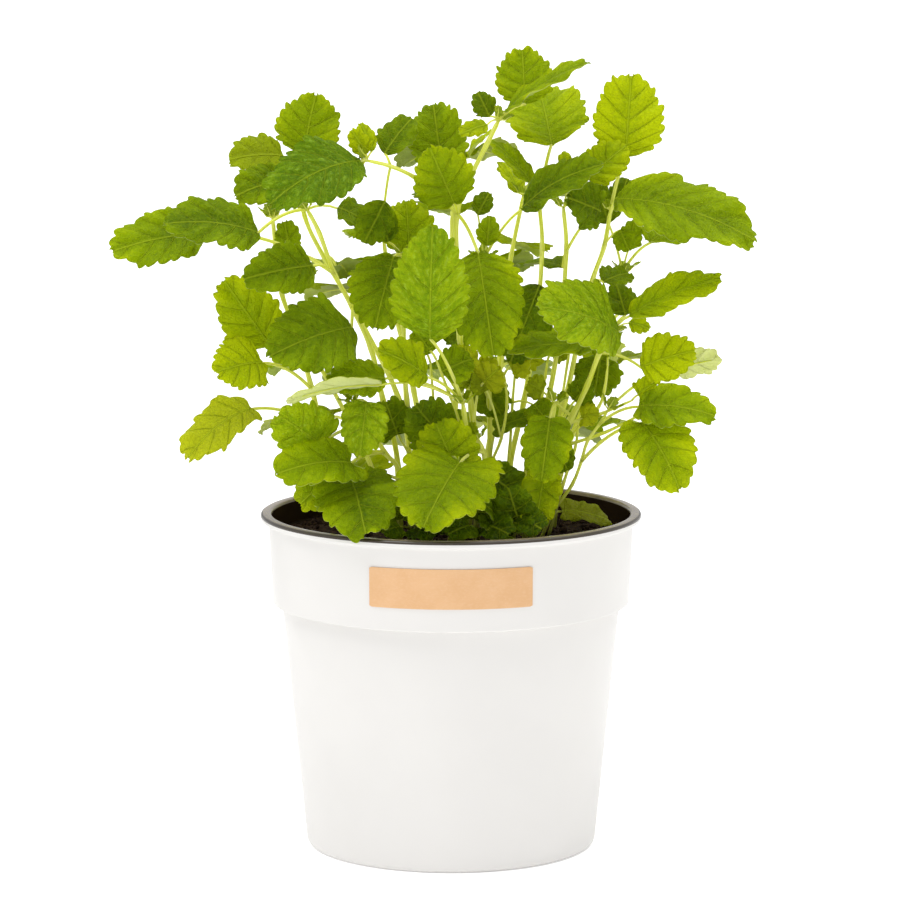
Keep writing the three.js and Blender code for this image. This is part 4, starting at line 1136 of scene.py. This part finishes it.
def plastic_material(name, colour, roughness, mottle, gloss):
    """Moulded plastic with a faint mottle and the slightest unevenness."""
    material, tree, output = start_material(name)
    place = object_place(tree)
    broad = noise_value(tree, place, 25.0)
    darker = tuple(c * mottle for c in colour) + (1,)
    tint = mixed(tree, remap(tree, broad, 0.35, 0.65, 0.0, 1.0), (*colour, 1), darker)
    surface(tree, output, tint, remap(tree, broad, 0.3, 0.7, roughness, roughness + 0.08), gloss,
            (noise_value(tree, place, 700.0), 0.05, 0.0002))
    return material


def label_material():
    """Bare peach paper with a faint fibre."""
    material, tree, output = start_material("label")
    place = object_place(tree)
    fibre = noise_value(tree, node(tree, "ShaderNodeMapping", {
        "Vector": place, "Scale": (1.0, 1.0, 2.2),
    }).outputs[0], 900.0, 5.0)
    blotch = noise_value(tree, place, 120.0, 4.0)
    colour = mixed(tree, remap(tree, blotch, 0.35, 0.65, 0.0, 1.0),
                   (0.685, 0.415, 0.215, 1), (0.655, 0.385, 0.19, 1))
    colour = mixed(tree, remap(tree, fibre, 0.45, 0.7, 0.0, 0.25), colour, (0.73, 0.50, 0.31, 1))
    surface(tree, output, colour, 0.75, bump=(fibre, 0.25, 0.0001))
    return material


def soil_material():
    """Dark peat with browner fibres and crumbs."""
    material, tree, output = start_material("soil")
    place = object_place(tree)
    crumbs = node(tree, "ShaderNodeTexVoronoi", {"Vector": place, "Scale": 650.0})
    grain = noise_value(tree, place, 900.0, 6.0)
    colour = mixed(tree, remap(tree, crumbs.outputs["Distance"], 0.1, 0.9, 0.0, 1.0),
                   (0.030, 0.016, 0.008, 1), (0.010, 0.005, 0.003, 1))
    colour = mixed(tree, remap(tree, grain, 0.6, 0.75, 0.0, 0.7), colour, (0.11, 0.062, 0.030, 1))
    surface(tree, output, colour, 0.95, 0.1, (grain, 0.8, 0.0006))
    return material


def arc(centre, radius, start, end, count):
    """Points of an arc in the profile plane, its angles in degrees from outwards."""
    angles = np.radians(np.linspace(start, end, count))
    return [(centre[0] + radius * math.cos(a), centre[1] + radius * math.sin(a)) for a in angles]


def collar_radius(z):
    share = (z - COLLAR_FOOT_Z) / (POT_HEIGHT - LIP_DROP - COLLAR_FOOT_Z)
    return lerp(COLLAR_FOOT_RADIUS, COLLAR_TOP_RADIUS, share)


def rounded(profile, rounding, count=5):
    """A profile with its corners rounded by curves that start the rounding away from each."""
    profile = np.array(profile, float)
    made = [profile[0]]
    for before, corner, after in zip(profile, profile[1:], profile[2:]):
        to_before, to_after = before - corner, after - corner
        reach = min(rounding, 0.45 * np.linalg.norm(to_before), 0.45 * np.linalg.norm(to_after))
        a, b = corner + unit(to_before) * reach, corner + unit(to_after) * reach
        for t in np.linspace(0, 1, count):
            made.append((1 - t) ** 2 * a + 2 * t * (1 - t) * corner + t ** 2 * b)
    made.append(profile[-1])
    return np.array(made)


def turned(name, profile, segments, slots, materials):
    """A closed profile turned about the axis, with a material slot for each of its stretches."""
    angles = 2 * np.pi * np.arange(segments) / segments
    points, faces, indices = [], [], []
    rings = []
    for radius, z in profile:
        if radius < 1e-6:
            rings.append([len(points)])
            points.append((0, 0, z))
            continue
        rings.append(list(range(len(points), len(points) + segments)))
        points += [(radius * math.cos(a), radius * math.sin(a), z) for a in angles]
    for low, high, slot in zip(rings, rings[1:], slots):
        for k in range(segments):
            n = (k + 1) % segments
            corners = [low[k % len(low)], low[n % len(low)], high[n % len(high)], high[k % len(high)]]
            corners = list(dict.fromkeys(corners))
            if len(corners) > 2:
                faces.append(corners)
                indices.append(slot)
    made = mesh_object(name, points, faces, materials, indices)
    made.data.shade_smooth()
    return made


def floor_line(z, shift=0, foot=0):
    """The profile of the pot's floor from axis to foot, z higher, with its hollow wider by shift and
    its foot narrower."""
    hub, ring = HUB_RADIUS - shift, FOOT_INNER_RADIUS + shift
    return [(0, z), (hub, z), (hub + FLOOR_SLOPE, FOOT_RECESS + z),
            (ring - FLOOR_SLOPE, FOOT_RECESS + z), (ring, z), (FOOT_OUTER_RADIUS - foot, z)]


def build_pot():
    """The thin moulded pot: white outside, dark inside, its lip brown, with its top painted paler as
    painted reflection.
    """
    outer = rounded([
        *floor_line(0), (BASE_RADIUS, BASE_ROUND),
        (STEP_RADIUS - STEP_CORNER[0], STEP_Z - STEP_CORNER[1]), (STEP_RADIUS, STEP_Z),
        (COLLAR_FOOT_RADIUS - COLLAR_CORNER, COLLAR_FOOT_Z),
        (COLLAR_FOOT_RADIUS, COLLAR_FOOT_Z + COLLAR_CORNER),
        (COLLAR_TOP_RADIUS, POT_HEIGHT - LIP_DROP),
        (RIM_RADIUS, POT_HEIGHT - LIP_DROP + EDGE_RISE),
    ], STEP_ROUND)
    lip = arc((RIM_RADIUS - RIM_ROUND, POT_HEIGHT - LIP_DROP / 2), LIP_DROP / 2, -75, 90, 9)
    lip = [(min(radius, RIM_RADIUS), z) for radius, z in lip]
    inner_edge = arc((RIM_INNER_RADIUS + RIM_ROUND, POT_HEIGHT - RIM_ROUND), RIM_ROUND, 90, 180, 6)
    inner = rounded([
        (RIM_INNER_RADIUS, POT_HEIGHT - RIM_ROUND - EDGE_RISE),
        (COLLAR_TOP_RADIUS - WALL, POT_HEIGHT - LIP_DROP),
        (COLLAR_FOOT_RADIUS - WALL, COLLAR_FOOT_Z + INNER_COLLAR_RISE),
        (STEP_RADIUS - WALL, STEP_Z + INNER_STEP_RISE),
        (BASE_RADIUS - WALL, BASE_ROUND + EDGE_RISE),
        *reversed(floor_line(WALL, FLOOR_SHIFT, FLOOR_SHIFT)),
    ], STEP_ROUND)
    profile = np.vstack([outer[:-1], lip, inner_edge, inner])
    lip_start = len(outer) - 1
    inside = lip_start + len(lip) + len(inner_edge) - 1
    starts = (lip_start + LIP_SIDE_AT, lip_start + LIP_TOP_AT, inside)
    slots = [sum(i >= start for start in starts) for i in range(len(profile) - 1)]
    materials = [plastic_material(*plastic) for plastic in PLASTICS]
    pot = turned("pot_fine", profile, POT_SEGMENTS, slots, materials)
    cut_drains(pot)
    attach(pot, "root")
    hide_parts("pot")


def cut_drains(pot):
    """Cuts the drain holes through the raised floor."""
    cutter_mesh = bpy.data.meshes.new("drains")
    shape = bmesh.new()
    for i in range(DRAIN_COUNT):
        turn = 2 * math.pi * i / DRAIN_COUNT
        made = bmesh.ops.create_cone(shape, cap_ends=True, segments=32, radius1=DRAIN_RADIUS * MM,
                                     radius2=DRAIN_RADIUS * MM, depth=3 * WALL * MM)
        bmesh.ops.translate(shape, verts=made["verts"], vec=(
            DRAIN_RING_RADIUS * math.cos(turn) * MM, DRAIN_RING_RADIUS * math.sin(turn) * MM,
            (FOOT_RECESS + WALL / 2) * MM))
    shape.to_mesh(cutter_mesh)
    shape.free()
    cutter = put("drains", cutter_mesh)
    cut = pot.modifiers.new("drains", "BOOLEAN")
    cut.operation = "DIFFERENCE"
    cut.solver = "EXACT"
    cut.object = cutter
    bpy.context.view_layer.objects.active = pot
    with bpy.context.temp_override(object=pot, active_object=pot):
        bpy.ops.object.modifier_apply(modifier="drains")
    bpy.data.objects.remove(cutter)
    bpy.data.meshes.remove(cutter_mesh)


def build_label():
    """A thin strip with rounded corners, wrapped on the front of the collar."""
    across, up = LABEL_CELLS
    half = LABEL_WIDTH / 2
    points = []
    for lift in (LABEL_OFFSET, LABEL_OFFSET + LABEL_THICKNESS):
        for j in range(up + 1):
            for i in range(across + 1):
                x = lerp(-half, half, i / across)
                z = lerp(LABEL_BOTTOM_Z, LABEL_TOP_Z, j / up)
                to_edge = min(half - abs(x), LABEL_CORNER)
                left = LABEL_CORNER - to_edge
                short = LABEL_CORNER - math.sqrt(max(0, LABEL_CORNER ** 2 - left ** 2))
                z = min(max(z, LABEL_BOTTOM_Z + short), LABEL_TOP_Z - short)
                radius = collar_radius(z) + lift
                turn = x / radius
                points.append((radius * math.sin(turn), -radius * math.cos(turn), z))
    faces = sheet_faces(up + 1, across + 1)
    label = mesh_object("label_fine", points, faces, [label_material()], [0] * len(faces))
    label.data.shade_flat()
    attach(label, "root")
    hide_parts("label")


def soil_height(x, y):
    """The uneven top of the soil, level where it meets the pot."""
    spot = Vector((x, y, 0))
    height = 1.3 * noise.noise(spot / 17) + 1.0 * noise.noise(spot / 6) + 0.5 * noise.noise(spot / 2)
    return SOIL_Z + height * min(1, (SOIL_EDGE_RADIUS - math.hypot(x, y)) / SOIL_FADE)


def build_soil():
    """The soil's body, its uneven top, and loose crumbs pressed into it."""
    gap = WALL + SOIL_GAP
    wall = [
        *floor_line(gap, 0, SOIL_FOOT_SHIFT),
        (BASE_RADIUS - gap, BASE_ROUND + EDGE_RISE + SOIL_GAP),
        (STEP_RADIUS - gap, STEP_Z + INNER_STEP_RISE + SOIL_GAP),
        (COLLAR_FOOT_RADIUS - gap, COLLAR_FOOT_Z + INNER_COLLAR_RISE + SOIL_GAP),
    ]
    top = [(SOIL_EDGE_RADIUS * (1 - i / SOIL_RINGS), SOIL_Z) for i in range(SOIL_RINGS + 1)]
    profile = wall + top
    soil = turned("soil_fine", profile, SOIL_SEGMENTS, [0] * (len(profile) - 1), [soil_material()])
    for vertex in soil.data.vertices:
        if vertex.co.z > (SOIL_Z - 1) * MM:
            vertex.co.z = soil_height(vertex.co.x / MM, vertex.co.y / MM) * MM
    rng = np.random.default_rng(SOIL_SEED)
    shape = bmesh.new()
    shape.from_mesh(soil.data)
    for _ in range(CRUMB_COUNT):
        ring = (SOIL_EDGE_RADIUS - CRUMB_MARGIN) * math.sqrt(rng.uniform(0, 1))
        turn = rng.uniform(0, 2 * math.pi)
        x, y = ring * math.cos(turn), ring * math.sin(turn)
        size = lerp(*CRUMB_SIZES, rng.uniform(0, 1) ** 3)
        fineness = 2 if size > LARGE_CRUMB else 1
        made = bmesh.ops.create_icosphere(shape, subdivisions=fineness, radius=1)
        stretch = rng.uniform(*CRUMB_STRETCHES, 3) * size
        seed = Vector(rng.uniform(0, 100, 3))
        middle = (x, y, soil_height(x, y) + CRUMB_RISE * size)
        for vertex in made["verts"]:
            rough = 1 + 0.5 * noise.noise(vertex.co * 1.7 + seed)
            vertex.co = Vector([m + c * s * rough for m, c, s in zip(middle, vertex.co, stretch)]) * MM
    for face in shape.faces:
        face.smooth = True
    shape.to_mesh(soil.data)
    shape.free()
    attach(soil, "root")
    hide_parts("soil")


def build_plant():
    materials = [leaf_material(), stem_material()]
    draw = seeded_draw(BACK_SEED)
    rows = FRONT_STEMS + [back_stem(row, k, draw) for k, row in enumerate(BACK_STEMS)]
    for number, (name, shoots) in enumerate(rows):
        build_stem(name, shoots, number, materials)


def build_studio():
    """A plain white floor, a pale sky, two broad soft lights from the sides, and the camera."""
    corners = [(x * FLOOR_SIZE, y * FLOOR_SIZE, 0) for x, y in ((-1, -1), (1, -1), (1, 1), (-1, 1))]
    material, tree, output = start_material("floor")
    table = surface(tree, output, (0.97, 0.97, 0.97, 1), 0.8)
    table.inputs["Emission Color"].default_value = (1, 1, 1, 1)
    table.inputs["Emission Strength"].default_value = FLOOR_GLOW
    floor = mesh_object("floor", corners, [(0, 1, 2, 3)], [material], [0])

    world = bpy.data.worlds.new("studio")
    bpy.context.scene.world = world
    world.use_nodes = True
    sky = world.node_tree.nodes["Background"].inputs
    sky["Color"].default_value = (1, 1, 1, 1)
    sky["Strength"].default_value = SKY_STRENGTH
    for name, way, strength in SUNS:
        light = bpy.data.lights.new(name, "SUN")
        light.angle = math.radians(SUN_ANGLE)
        light.energy = strength
        put(name, light).rotation_euler = Vector(way).to_track_quat("Z", "Y").to_euler()

    camera_data = bpy.data.cameras.new("camera")
    camera_data.sensor_width = SENSOR_WIDTH
    camera_data.lens = FOCAL_PIXELS * SENSOR_WIDTH / IMAGE_WIDTH
    camera_data.shift_x = (IMAGE_WIDTH / 2 - POT_COLUMN) / IMAGE_WIDTH
    camera_data.clip_end = CAMERA_REACH
    camera = put("camera", camera_data)
    camera.location = CAMERA_PLACE
    way = Vector(CAMERA_AIM) - camera.location
    camera.rotation_euler = way.to_track_quat("-Z", "Y").to_euler()
    bpy.context.scene.camera = camera
    bpy.context.scene.view_settings.view_transform = "Standard"


build_studio()
build_pot()
build_label()
build_soil()
build_plant()
